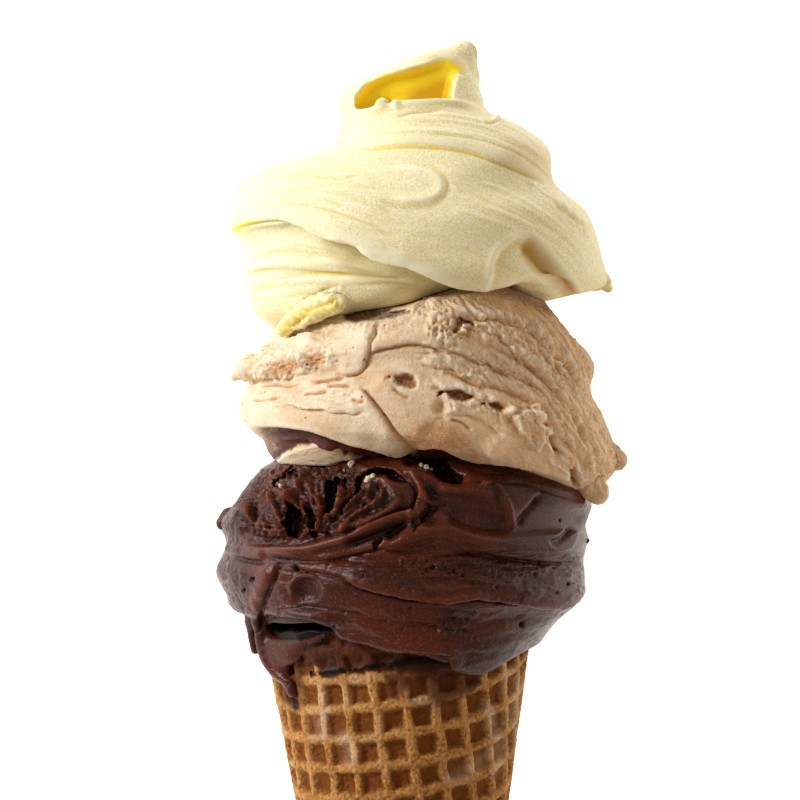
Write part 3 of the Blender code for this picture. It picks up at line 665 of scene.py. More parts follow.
HAZELNUT_CRAGS = {
    "top ridge": (
        {"size": 0.8, "height": 0.6, "edge": 8, "seed": 40, "stretch": 1.4},
        [(340, 326), (380, 326), (425, 304), (450, 299), (470, 297), (492, 301), (512, 308), (540, 317),
         (562, 331), (556, 352), (532, 334), (506, 322), (470, 320), (430, 320), (380, 336), (350, 334)],
    ),
    "crumbly band": (
        {"size": 0.9, "height": 0.8, "edge": 10, "seed": 41, "stretch": 1.3},
        [(430, 318), (470, 320), (506, 326), (536, 342), (560, 366), (575, 395), (585, 415), (560, 398),
         (536, 372), (515, 356), (490, 344), (455, 346), (432, 336)],
    ),
    "lifted crumbs": (
        {"size": 1.4, "height": 1.2, "edge": 6, "seed": 45},
        [(424, 318), (440, 313), (456, 318), (466, 334), (456, 347), (438, 343), (424, 332)],
    ),
    "crumbs by the flake": (
        {"size": 0.9, "height": 0.7, "edge": 8, "seed": 42, "stretch": 1.2},
        [(440, 386), (470, 390), (505, 402), (545, 408), (553, 430), (545, 452), (520, 445), (500, 424),
         (470, 410), (445, 412)],
    ),
    "crumbs of the flap": (
        {"size": 1.0, "height": 0.8, "edge": 6, "seed": 43, "stretch": 1.2},
        [(250, 350), (268, 345), (300, 348), (330, 348), (334, 364), (300, 376), (262, 380), (240, 376)],
    ),
    "upper flap": (
        {"size": 1.0, "height": 0.18, "edge": 6, "seed": 37, "stretch": 2.0},
        [(275, 338), (310, 326), (345, 324), (375, 335), (366, 350), (330, 350), (290, 348)],
    ),
    "right side": (
        {"size": 0.7, "height": 0.3, "edge": 14, "seed": 36, "stretch": 1.3},
        [(420, 330), (500, 320), (560, 318), (600, 360), (622, 470), (600, 500), (570, 485), (540, 440),
         (500, 400), (440, 372)],
    ),
    "left lobe": (
        {"size": 0.9, "height": 0.25, "edge": 8, "seed": 44, "stretch": 3.5},
        [(244, 384), (300, 376), (356, 376), (372, 404), (378, 418), (340, 414), (290, 408), (244, 408)],
    ),
}
HAZELNUT_SHREDS = {
    "right side": (
        {"coarse": 4.0, "fine": 0.9, "height": 0.6, "edge": 14, "seed": 46},
        [(420, 340), (450, 345), (500, 350), (545, 305), (600, 350), (625, 470), (600, 500), (575, 480),
         (556, 440), (545, 415), (500, 392), (440, 372), (415, 360)],
    ),
    "upper right": (
        {"coarse": 4.5, "fine": 0.9, "height": 0.45, "edge": 14, "seed": 38},
        [(430, 300), (545, 305), (590, 350), (600, 420), (560, 390), (510, 350), (440, 330)],
    ),
    "flap": (
        {"coarse": 9, "fine": 1.4, "height": 0.2, "edge": 10, "seed": 47},
        [(262, 330), (340, 318), (380, 330), (366, 362), (300, 372), (245, 374)],
    ),
    "left lobe": (
        {"coarse": 9, "fine": 1.0, "height": 0.28, "edge": 8, "seed": 48},
        [(240, 382), (300, 376), (356, 376), (372, 402), (360, 414), (300, 408), (242, 408)],
    ),
    "middle lobe": (
        {"coarse": 6, "fine": 1.6, "height": 0.2, "edge": 14, "seed": 49},
        [(372, 372), (440, 372), (540, 420), (560, 470), (470, 452), (410, 440)],
    ),
}
# Chocolate smeared on the hazelnut's foot; its right end also paints the shaded gap over the chocolate dark
SMEAR = [
    (281, 424), (300, 422.5), (314, 425.5), (330, 431), (348, 437.5), (377, 445), (405, 450.5), (413, 452),
    (420, 447), (436, 444.5), (452, 449), (460, 455), (480, 462), (480, 480), (440, 480), (398, 472),
    (373, 460), (348, 451), (331, 440.5), (314, 441.5), (293, 447.5), (279, 457), (270, 460), (274, 453),
    (281, 448), (276, 444), (280, 438), (273, 433), (279, 429),
]
STAINED_WAIST = [(262, 425), (274, 423), (288, 426), (291, 436), (285, 448), (276, 457), (264, 456)]
# Painted shade, mauve brown, on the hazelnut's top under the lemon's overhang
SHADED_TOP = [
    (430, 298), (450, 288), (470, 282), (490, 280), (515, 284), (540, 294), (558, 308), (548, 316),
    (525, 306), (500, 298), (475, 295), (450, 299), (436, 302),
]
# Painted shade: the dark crevice under the lemon
SHADED_CREVICE = [(343, 314), (358, 310), (378, 311), (402, 313), (398, 319), (378, 323), (358, 325), (347, 322)]
# Painted shade, warm brown: at the foot between the lobes, along the crease, a crack and a hole, and in the
# hollows, with each hollow's edge and strength. MIDDLE_LOBE_WARMTH is a weak warm tint on the middle lobe.
WARM_SHADE_AT_FOOT = [(402, 432), (420, 420), (446, 424), (466, 438), (476, 454), (450, 446), (412, 451)]
WARM_SHADE_LINES = [
    [(412, 449), (391, 427), (373, 401), (360, 391)],
    [(366, 356), (378, 350), (391, 347), (420, 345)],
    [(396, 378), (406, 381), (415, 386)],
]
WARM_SHADE_IN_HOLLOWS = [
    (7, 0.75, [(272, 366), (284, 360), (298, 361), (301, 370), (286, 376), (274, 374)]),
    (7, 0.75, [(308, 357), (318, 352), (326, 356), (325, 365), (314, 368)]),
    (4, 0.9, [(393, 376), (408, 376), (416, 386), (404, 388)]),
    (4, 0.9, [(444, 391), (460, 390), (472, 397), (458, 401)]),
    (4, 0.8, [(486, 402), (496, 403), (502, 409), (492, 411)]),
    (5, 0.8, [(452, 324), (466, 320), (472, 334), (460, 342)]),
]
MIDDLE_LOBE_WARMTH = [(372, 380), (400, 392), (420, 420), (440, 440), (414, 446), (392, 424), (372, 398)]
HAZELNUT_FLOW = [(240, 0), (380, 0), (430, 6), (480, 34), (520, 70), (560, 120), (605, 190)]

CHOCOLATE_FORMS = {
    "rim of the broken hollow": (
        "fold",
        {"width": 9, "height": 1.2, "edge": 2.2, "overhang": 0.6, "crease": 0.7},
        [(396, 466), (406, 470), (415, 478), (420.5, 488), (420, 498), (414, 509), (402, 513), (388, 518),
         (367, 526.5), (351, 533), (330, 538), (309, 545), (288, 548), (262, 546), (238, 539)],
    ),
    "crest of the rim": (
        "ridge",
        {"width": 3.4, "height": 0.8},
        [(400, 467), (410, 471), (419, 481), (424, 493), (419, 509), (405, 515), (388, 520), (367, 529),
         (350, 535), (330, 540), (309, 549), (286, 551.5), (262, 549)],
    ),
    "inner ledge": (
        "ridge",
        {"width": 5, "height": 0.9},
        [(352, 530), (366, 523), (382, 514), (396, 503), (402, 491)],
    ),
    "knob": ("bump", {"radius": 7.5, "height": 2.2}, [(345, 526)]),
    "left knob": ("bump", {"radius": 8, "height": 1.8}, [(246, 507)]),
    "shade of the left knob": (
        "ridge",
        {"width": 2.4, "height": -1.2},
        [(251, 498), (254, 507), (252, 518), (248, 526)],
    ),
    "first fin": ("ridge", {"width": 1.8, "height": 2.0}, [(302, 496), (307, 508), (311, 520), (314, 536)]),
    "second fin": ("ridge", {"width": 1.8, "height": 2.0}, [(317, 490), (320, 502), (320, 516), (317, 530)]),
    "third fin": ("ridge", {"width": 2.4, "height": 1.4}, [(346, 472), (342, 484), (341, 500), (336, 514)]),
    "fourth fin": ("ridge", {"width": 2.4, "height": 1.0}, [(264, 486), (272, 498), (276, 514), (274, 532)]),
    "rounded rib": ("ridge", {"width": 3.2, "height": 1.8}, [(304, 466), (302, 478), (297, 489), (288, 498)]),
    "knob of the rib": ("bump", {"radius": 6.5, "height": 2.2}, [(289, 497)]),
    "inner lip": (
        "ridge",
        {"width": 3.0, "height": 1.2},
        [(380, 482), (382, 490), (376, 499), (364, 506), (352, 514), (344, 524)],
    ),
    "fall right of the rim": (
        "ridge",
        {"width": 10, "height": -1.2},
        [(428, 478), (434, 494), (432, 508), (420, 522)],
    ),
    "ridge below the gap": (
        "fold",
        {"width": 12, "height": 1.2, "edge": 3.0, "overhang": 0.3},
        [(404, 467), (420, 473), (436, 485), (455, 491), (478, 493), (498, 497)],
    ),
    "left edge of the drape": (
        "ridge",
        {"width": 2.6, "height": 0.35},
        [(488, 482), (495, 490), (502, 501), (508, 513), (512, 524)],
    ),
    "crease right of the drape": (
        "ridge",
        {"width": 3.6, "height": -0.9},
        [(537, 494), (530, 502), (523, 512), (516, 523)],
    ),
    "drape": (
        "bed",
        {"height": 0.9, "edge": 6},
        [(490, 482), (512, 483), (535, 489), (527, 504), (513, 526), (503, 508)],
    ),
    "hollow left of the drape": (
        "bed",
        {"height": -0.9, "edge": 14},
        [(448, 500), (478, 500), (494, 506), (506, 522), (498, 532), (470, 528), (452, 518)],
    ),
    "brow at the right": (
        "fold",
        {"width": 9, "height": 1.0, "edge": 2.2, "overhang": 0.4},
        [(492, 480), (515, 480), (538, 486), (560, 493), (590, 502)],
    ),
    "second brow at the right": (
        "ridge",
        {"width": 4, "height": 0.7},
        [(530, 491), (550, 496), (570, 500), (590, 506)],
    ),
    "valley under the hazelnut": (
        "bed",
        {"height": -1.4, "edge": 10},
        [(402, 450), (425, 450), (446, 456), (463, 470), (462, 483), (446, 481), (428, 471), (408, 463)],
    ),
    "flat under the drape": (
        "bed",
        {"height": -1.0, "edge": 14},
        [(440, 502), (470, 500), (500, 512), (530, 510), (575, 510), (580, 526), (540, 530), (500, 530),
         (462, 522)],
    ),
    "top of the middle band": (
        "ridge",
        {"width": 8, "height": 1.3},
        [(372, 548), (392, 540), (410, 534), (435, 528), (461, 532), (487, 539), (524, 545), (560, 544),
         (585, 538)],
    ),
    "hollow under the rim": (
        "ridge",
        {"width": 4, "height": -1.0},
        [(346, 542), (360, 538), (374, 533), (388, 527), (402, 520), (412, 514)],
    ),
    "recess under the rim": (
        "hole",
        {"depth": -1.6, "edge": 6, "ragged": 0.6},
        [(386, 532), (393, 528), (401, 523), (406, 524), (399, 531), (391, 535)],
    ),
    "recess": (
        "ridge",
        {"width": 2.6, "height": -0.9},
        [(543, 541), (556, 538), (566, 532), (574, 525)],
    ),
    "lip of the recess": (
        "ridge",
        {"width": 2.4, "height": 0.25},
        [(540, 545), (552, 546.5), (564, 543), (573, 536), (578, 528)],
    ),
    "upper left crease": (
        "fold",
        {"width": 9, "height": 0.7, "edge": 1.5, "overhang": 0.4},
        [(262, 552), (282, 554), (315, 557), (341, 553), (367, 546), (392, 541)],
    ),
    "upper right crease": (
        "fold",
        {"width": 12, "height": 0.6, "edge": 1.5, "overhang": 0.4},
        [(420, 552), (440, 550), (461, 548), (498, 552), (550, 559), (588, 557)],
    ),
    "first ledge": (
        "fold",
        {"width": 8, "height": 0.7, "edge": 1.5, "overhang": 0.5, "ragged": 1.5},
        [(290, 562), (305, 565), (322, 567), (346, 572), (362, 579)],
    ),
    "main ledge": (
        "fold",
        {"width": 20, "height": 1.4, "edge": 2.0, "overhang": 0.7, "ragged": 1.2, "crease": 0.5},
        [(340, 572), (356, 577), (367, 581), (393, 587.5), (419, 591.5), (445, 594), (471, 591), (498, 594),
         (537, 600), (570, 600), (588, 596)],
    ),
    "edge of the ledge": (
        "ridge",
        {"width": 2.6, "height": 0.5},
        [(400, 587), (420, 590), (445, 592.5), (471, 589), (495, 592)],
    ),
    "crater": ("bump", {"radius": 13, "height": -1.4}, [(308, 586)]),
    "brow of the crater": (
        "ridge",
        {"width": 2.5, "height": 0.6},
        [(295, 592), (293, 583), (299, 575), (310, 572), (320, 576)],
    ),
    "ridge down the left": (
        "fold",
        {"width": 12, "height": 0.75, "edge": 1.8, "overhang": 0.4, "crease": 0.9},
        [(258, 632), (259.6, 619.5), (261, 605), (268, 585.6), (276, 569), (284, 554)],
    ),
    "left lobe's edge": (
        "fold",
        {"width": 10, "height": 0.9, "edge": 2.0, "overhang": 0.4},
        [(222, 548), (238, 552), (256, 556), (272, 556)],
    ),
    "crescent at the left": (
        "ridge",
        {"width": 4.5, "height": -1.4},
        [(229, 551), (223, 561), (221, 572), (226, 584)],
    ),
    "hollow of the lower band": (
        "ridge",
        {"width": 14, "height": -0.7},
        [(285, 603), (320, 607), (360, 612), (410, 616), (470, 616), (530, 614), (570, 606)],
    ),
    "lip": (
        "fold",
        {"width": 10, "height": 1.0, "edge": 2.2, "overhang": 0.6, "crease": 0.3},
        [(262, 624), (272, 617), (288, 614), (313, 615.5), (337, 626), (356, 633.5), (376, 639.5), (409, 643),
         (434, 646), (448, 649), (453, 660), (460, 667), (482, 667), (505, 657), (532, 646)],
    ),
    "rounded lip": (
        "ridge",
        {"width": 4, "height": 0.7},
        [(280, 610), (310, 610), (337, 620), (356, 628), (376, 634), (409, 637), (434, 640), (448, 642)],
    ),
}
CHOCOLATE_HOLES = {
    "deep pit": (
        -4.2,
        [(326, 478), (335, 474), (345, 477), (344, 484), (336, 488), (336, 499), (333, 509), (327, 508),
         (325, 494)],
    ),
    "left pit": (
        -3.8,
        [(290, 503), (299, 506), (302, 516), (301, 528), (296, 537), (287, 535), (284, 524), (287, 512)],
    ),
    "narrow pit": (-2.6, [(307, 504), (311, 505), (315, 520), (315, 534), (311, 537), (308, 522)]),
    "upper pit": (-2.4, [(279, 471), (286, 466), (297, 465), (299, 470), (290, 474)]),
    "slot by the rim": (
        -3.0,
        [(363, 470), (374, 468), (388, 467.5), (400, 473), (406, 480), (400, 480), (384, 474)],
    ),
    "gap under the hazelnut": (
        -2.8,
        [(425, 452), (440, 455), (452, 464), (462, 474), (458, 480), (446, 478), (434, 468), (424, 460)],
    ),
}
TORN = [
    (236, 502), (245, 482), (264, 470), (292, 463), (330, 461), (362, 468), (384, 482), (392, 496),
    (378, 508), (350, 520), (330, 532), (300, 541), (264, 541), (244, 530),
]
CHOCOLATE_CRAGS = {
    "broken hollow": ({"size": 1.8, "height": 1.2, "edge": 8, "seed": 51}, TORN),
    "crumbs of the hollow": (
        {"size": 0.8, "height": 0.5, "edge": 6, "seed": 56},
        [(238, 500), (248, 480), (290, 464), (340, 464), (384, 484), (376, 508), (330, 530), (264, 538)],
    ),
    "rough crease": (
        {"size": 0.9, "height": 0.5, "edge": 5, "seed": 52},
        [(400, 556), (440, 553), (480, 553), (530, 561), (540, 570), (500, 574), (440, 572), (400, 568)],
    ),
    "scar": (
        {"size": 0.9, "height": 0.8, "edge": 3, "seed": 53},
        [(436, 620), (446, 618), (462, 615), (466, 622), (454, 628), (440, 630)],
    ),
    "lower left side": (
        {"size": 2.4, "height": 0.35, "edge": 10, "seed": 55},
        [(212, 545), (242, 548), (250, 585), (262, 612), (250, 622), (222, 606)],
    ),
    "upper left side": (
        {"size": 2.0, "height": 0.3, "edge": 8, "seed": 54},
        [(222, 516), (240, 500), (262, 505), (270, 530), (262, 546), (230, 545)],
    ),
}
CHOCOLATE_LINES = {
    "fibres of the hollow": (
        {"count": 24, "width": 1.2, "height": 0.8, "seed": 21, "ragged": 1.5},
        [(262, 480), (268, 496), (276, 512), (284, 534)],
        [(370, 470), (372, 486), (358, 500), (336, 520)],
    ),
    "lines of the middle band": (
        {"count": 9, "width": 2.0, "height": 0.22, "seed": 22, "ragged": 1.0},
        [(380, 548), (430, 536), (480, 544), (530, 552), (584, 550)],
        [(350, 572), (400, 580), (460, 584), (520, 592), (584, 592)],
    ),
    "lines of the lower band": (
        {"count": 10, "width": 2.4, "height": 0.2, "seed": 23},
        [(280, 598), (340, 596), (400, 600), (460, 602), (530, 606), (580, 602)],
        [(280, 612), (330, 614), (390, 634), (440, 640), (500, 646), (550, 626)],
    ),
    "lines below the gap": (
        {"count": 6, "width": 2.2, "height": 0.3, "seed": 24},
        [(448, 462), (490, 468), (540, 478), (584, 496)],
        [(440, 484), (480, 486), (530, 492), (584, 506)],
    ),
}
CHOCOLATE_SHREDS = {
    "middle band": (
        {"coarse": 9, "fine": 1.0, "height": 0.45, "edge": 10, "seed": 57},
        [(300, 556), (380, 548), (440, 536), (500, 544), (586, 556), (586, 594), (500, 592), (420, 588),
         (350, 572)],
    ),
    "lower band": (
        {"coarse": 10, "fine": 1.5, "height": 0.25, "edge": 10, "seed": 58},
        [(228, 560), (290, 590), (400, 600), (580, 606), (540, 640), (460, 660), (380, 634), (290, 612)],
    ),
}
LIFTED_LIP = [(262, 620), (290, 618), (320, 622), (345, 628)]
DRIP_WEB = [(264, 630), (300, 630), (346, 626), (346, 636), (320, 652), (302, 668), (288, 674), (268, 662)]
RIM_SHADE = [(346, 541), (360, 536), (374, 532), (388, 526), (400, 521)]
PORES = [(299, 564, 2.6), (255, 577, 2.0), (521, 622, 2.2), (341, 508, 2.0), (563, 519, 1.0), (247, 588, 1.6)]
SCATTERED_PORES = [(400, 556), (540, 556), (540, 572), (400, 572)]
LOWER_PORES = [(230, 560), (580, 560), (580, 640), (300, 620)]
CHOCOLATE_FLOW = [(220, 0), (300, 2), (400, 6), (500, 2), (590, -4)]

# Crumbs of hazelnut gelato on the chocolate: where they lie and their radius in millimetres
WHITE_CRUMBS = [
    (352, 464, 0.55), (354, 463, 0.4), (371, 477, 0.6), (374, 475, 0.45), (367, 480, 0.45), (280, 484, 0.5),
    (283, 485, 0.35), (425, 467, 0.5), (421, 465, 0.35), (430, 469, 0.3), (262, 470, 0.25), (345, 470, 0.2),
]

WAFFLE_FLOW = [(300, 0), (500, 0)]
WAFFLE_FILM = [
    (255, 600), (262, 640), (272, 664), (288, 668), (303, 664), (318, 664), (330, 671), (346, 667),
    (372, 663), (398, 668), (416, 672), (436, 678), (458, 676), (480, 668), (510, 655), (540, 640),
    (540, 600),
]
WAFFLE_STAINS = [
    [(415, 668), (425, 690), (440, 700), (458, 694), (470, 690), (478, 676), (450, 664)],
    [(272, 664), (280, 690), (296, 712), (304, 690), (300, 664)],
    [(380, 664), (390, 686), (402, 690), (412, 670)],
]
# Patches of the darkest chocolate on the cone; the first two, under the chocolate's lip, are painted shadow
# as well
WAFFLE_DARK_CHOCOLATE_AND_SHADOW = [
    [(262, 608), (300, 606), (338, 614), (344, 626), (332, 632), (314, 636), (300, 644), (284, 652),
     (266, 640)],
    [(354, 664), (372, 658), (396, 654), (430, 650), (450, 651), (454, 658), (440, 661), (410, 662),
     (380, 665), (358, 668)],
    [(320, 669), (332, 664), (344, 663), (348, 667), (338, 672), (325, 674)],
    [(272, 652), (284, 660), (288, 668), (280, 676), (274, 668)],
]
WAFFLE_DRIP = [(262, 630), (266, 645), (276, 657), (287, 668), (291, 678), (294, 688)]
WAFFLE_DRIP_WIDE = [(268, 640), (284, 650), (300, 648), (318, 640), (336, 634)]
WAFFLE_SPECK = [(296, 698), (297, 706)]
PALE_RIDGES = [
    [(480, 690), (492, 720), (500, 750), (492, 778)],
    [(520, 670), (516, 700), (508, 730)],
    [(330, 700), (322, 716), (326, 740)],
    [(340, 724), (352, 748), (346, 762)],
    [(440, 778), (470, 764), (500, 742)],
]

# Deeper than this, in millimetres, a hole doesn't count for how hollow its rim is, for painted shade and
# highlight
SHALLOW = -1.2

# The layers' fineness: row length in millimetres, columns on the shown side and on the back
LEMON_MESH = (0.28, 250, 90)
HAZELNUT_MESH = (0.25, 430, 140)
CHOCOLATE_MESH = (0.22, 360, 120)


def hex_colour(text):
    """Linear RGBA from an sRGB hex value."""
    values = [int(text[k : k + 2], 16) / 255 for k in (1, 3, 5)]
    return tuple(v / 12.92 if v <= 0.04045 else ((v + 0.055) / 1.055) ** 2.4 for v in values) + (1.0,)


def add(tree, kind, inputs=None, **settings):
    """Add a node: settings are its properties, and an input is a value or another node's output."""
    node = tree.nodes.new(kind)
    for name, value in settings.items():
        setattr(node, name, value)
    for socket, value in (inputs or {}).items():
        if isinstance(value, bpy.types.NodeSocket):
            tree.links.new(value, node.inputs[socket])
        else:
            node.inputs[socket].default_value = value
    return node


def cells_of(size):
    """A texture's scale for cells of this size in millimetres."""
    return 1 / (size * MM)


def place(points):
    """World places, in metres, of points given across, along and deep in millimetres."""
    return (np.asarray(points, float) + (-CENTRE_ACROSS, -CENTRE_ALONG, AXIS_HEIGHT)) * MM


def smooth_path(points, steps):
    """Points on the Catmull-Rom curve through the given ones, with the given steps in each span."""
    points = np.asarray(points, float)
    ends = np.vstack([2 * points[0] - points[1], points, 2 * points[-1] - points[-2]])
    out = []
    for k in range(len(points) - 1):
        a, b, c, d = ends[k : k + 4]
        for t in np.arange(steps[k]) / steps[k]:
            bend = (2 * a - 5 * b + 4 * c - d) * t**2 + (3 * b - a - 3 * c + d) * t**3
            out.append(0.5 * (2 * b + (c - a) * t + bend))
    out.append(points[-1])
    return np.array(out)


def noise(points, seed):
    """Smooth noise from -1 to 1 at N by 3 points, with cells one unit wide."""
    cell = np.floor(points).astype(np.int64)
    t = points - cell
    t = t * t * (3 - 2 * t)
    total = np.zeros(len(points))
    for corner in itertools.product((0, 1), repeat=3):
        at = cell + np.array(corner)
        mix = (at[:, 0] * 73856093) ^ (at[:, 1] * 19349663) ^ (at[:, 2] * 83492791) ^ (seed * 2654435)
        mix = (mix ^ (mix >> 13)) * 1274126177 & 0x7FFFFFFF
        value = ((mix ^ (mix >> 16)) & 0xFFFF) / 32767.5 - 1
        weight = np.prod(np.where(np.array(corner) == 1, t, 1 - t), axis=1)
        total += weight * value
    return total


def layered_noise(points, seed, octaves=4):
    """Noise with finer and weaker noise on it, from about -1 to 1."""
    total, size, strength = 0.0, 1.0, 1.0
    for octave in range(octaves):
        total = total + strength * noise(points * size + 17.3 * octave, seed + octave)
        size *= 2.03
        strength *= 0.5
    return total / 1.6


def station_ring(station, turn):
    """The ring of a station at the given turns: points across, along and deep."""
    line, front, back = station
    path = smooth_path(line, [12] * (len(line) - 1))
    left, right = path[0], path[-1]
    across = (left[0] + right[0]) / 2 + (right[0] - left[0]) / 2 * np.cos(turn)
    shown = np.interp(across, path[:, 0], path[:, 1])
    hidden = left[1] + (right[1] - left[1]) * (across - left[0]) / (right[0] - left[0])
    side = np.sin(turn)
    along = np.where(side >= 0, shown, hidden)
    deep = np.where(side >= 0, front * side, back * side)
    return np.stack([across, along, deep], axis=1)


def layer_mesh(name, stations, top, foot, drops, fineness):
    """A closed mesh of a layer's smooth form."""
    row_length, front_columns, back_columns = fineness
    front = np.linspace(0, math.pi, front_columns, endpoint=False)
    back = np.linspace(math.pi, 2 * math.pi, back_columns, endpoint=False)
    turn = np.concatenate([front, back])
    rings = np.array([station_ring(station, turn) for station in stations])
    rings[0, :, 1] -= drops[0]
    rings[-1, :, 1] -= drops[1]
    lengths = np.linalg.norm(np.diff(rings[:, :front_columns], axis=0), axis=2).mean(axis=1)
    steps = np.maximum(1, np.round(lengths / row_length)).astype(int)
    grid = smooth_path(rings.reshape(len(rings), -1), steps).reshape(-1, len(turn), 3)
    rows, columns = grid.shape[:2]
    points = np.vstack([grid.reshape(-1, 3), [top], [foot]])
    index = np.arange(rows * columns).reshape(rows, columns)
    after = np.roll(index, -1, axis=1)
    quads = np.stack([index[:-1], after[:-1], after[1:], index[1:]], axis=2).reshape(-1, 4)
    cap_top = np.stack([after[0], index[0], np.full(columns, rows * columns)], axis=1)
    cap_foot = np.stack([index[-1], after[-1], np.full(columns, rows * columns + 1)], axis=1)
    return closed_mesh(name, points, quads.tolist() + cap_top.tolist() + cap_foot.tolist())


def closed_mesh(name, points, faces):
    """A mesh of points in millimetres, with its faces turned outwards."""
    mesh = bpy.data.meshes.new(name)
    mesh.from_pydata(place(points).tolist(), [], faces)
    bm = bmesh.new()
    bm.from_mesh(mesh)
    bmesh.ops.recalc_face_normals(bm, faces=bm.faces)
    bm.to_mesh(mesh)
    bm.free()
    return mesh


def limb_mesh(name, path, around=40):
    """A round limb along a path of points across, along and deep with a radius, with round ends."""
    fine = smooth_path(path, [14] * (len(path) - 1))
    ends = []
    for end, inner in ((fine[0], fine[1]), (fine[-1], fine[-2])):
        way = (end - inner)[:3] / np.linalg.norm((end - inner)[:3])
        angles = np.radians([25, 50, 72, 86])
        ends.append(
            [np.append(end[:3] + way * end[3] * math.sin(a), end[3] * math.cos(a)) for a in angles]
        )
    fine = np.vstack([ends[0][::-1], fine, ends[1]])
    way = np.gradient(fine[:, :3], axis=0)
    way /= np.linalg.norm(way, axis=1)[:, None]
    side = np.cross(way, (0, 0, 1.0))
    side /= np.linalg.norm(side, axis=1)[:, None]
    other = np.cross(way, side)
    turn = np.linspace(0, 2 * math.pi, around, endpoint=False)
    rings = (
        fine[:, None, :3]
        + fine[:, None, 3:4] * side[:, None] * np.cos(turn)[None, :, None]
        + fine[:, None, 3:4] * other[:, None] * np.sin(turn)[None, :, None]
    )
    rows = len(fine)
    index = np.arange(rows * around).reshape(rows, around)
    after = np.roll(index, -1, axis=1)
    quads = np.stack([index[:-1], after[:-1], after[1:], index[1:]], axis=2).reshape(-1, 4)
    caps = [index[0].tolist(), index[-1].tolist()]
    return closed_mesh(name, rings.reshape(-1, 3), quads.tolist() + caps)


def joined(mesh, limbs):
    """One closed mesh of a layer and its limbs."""
    scene = bpy.context.scene
    body = bpy.data.objects.new("body", mesh)
    scene.collection.objects.link(body)
    group = bpy.data.collections.new("limbs")
    scene.collection.children.link(group)
    for path in limbs:
        limb = bpy.data.objects.new("limb", limb_mesh("limb", path))
        group.objects.link(limb)
        union = body.modifiers.new("Union", "BOOLEAN")
        union.operation = "UNION"
        union.solver = "MANIFOLD"
        union.object = limb
    bpy.context.view_layer.update()
    evaluated = body.evaluated_get(bpy.context.evaluated_depsgraph_get())
    made = bpy.data.meshes.new_from_object(evaluated)
    for item in [body, *group.objects]:
        bpy.data.objects.remove(item, do_unlink=True)
    bpy.data.collections.remove(group)
    return made


def path_distance(x, y, path):
    """Distance to a path, positive to its left in the picture; the share along it; the way to its right."""
    best = np.full(x.shape, 1e9)
    signed = np.zeros(x.shape)
    share = np.zeros(x.shape)
    right = np.zeros(x.shape + (2,))
    for k in range(len(path) - 1):
        start, step = path[k], path[k + 1] - path[k]
        length = np.hypot(*step) + 1e-9
        dx, dy = x - start[0], y - start[1]
        t = np.clip((dx * step[0] + dy * step[1]) / length**2, 0, 1)
        away = np.hypot(dx - t * step[0], dy - t * step[1])
        side = -np.sign(step[0] * dy - step[1] * dx)
        nearer = away < best
        best = np.where(nearer, away, best)
        signed = np.where(nearer, away * side, signed)
        share = np.where(nearer, (k + t) / (len(path) - 1), share)
        right[nearer] = (-step[1] / length, step[0] / length)
    return signed, share, right


def goes_clockwise(path):
    """Whether a closed path goes round clockwise in the picture."""
    x, y = path[:, 0], path[:, 1]
    return float(np.sum(x[:-1] * y[1:] - x[1:] * y[:-1])) > 0


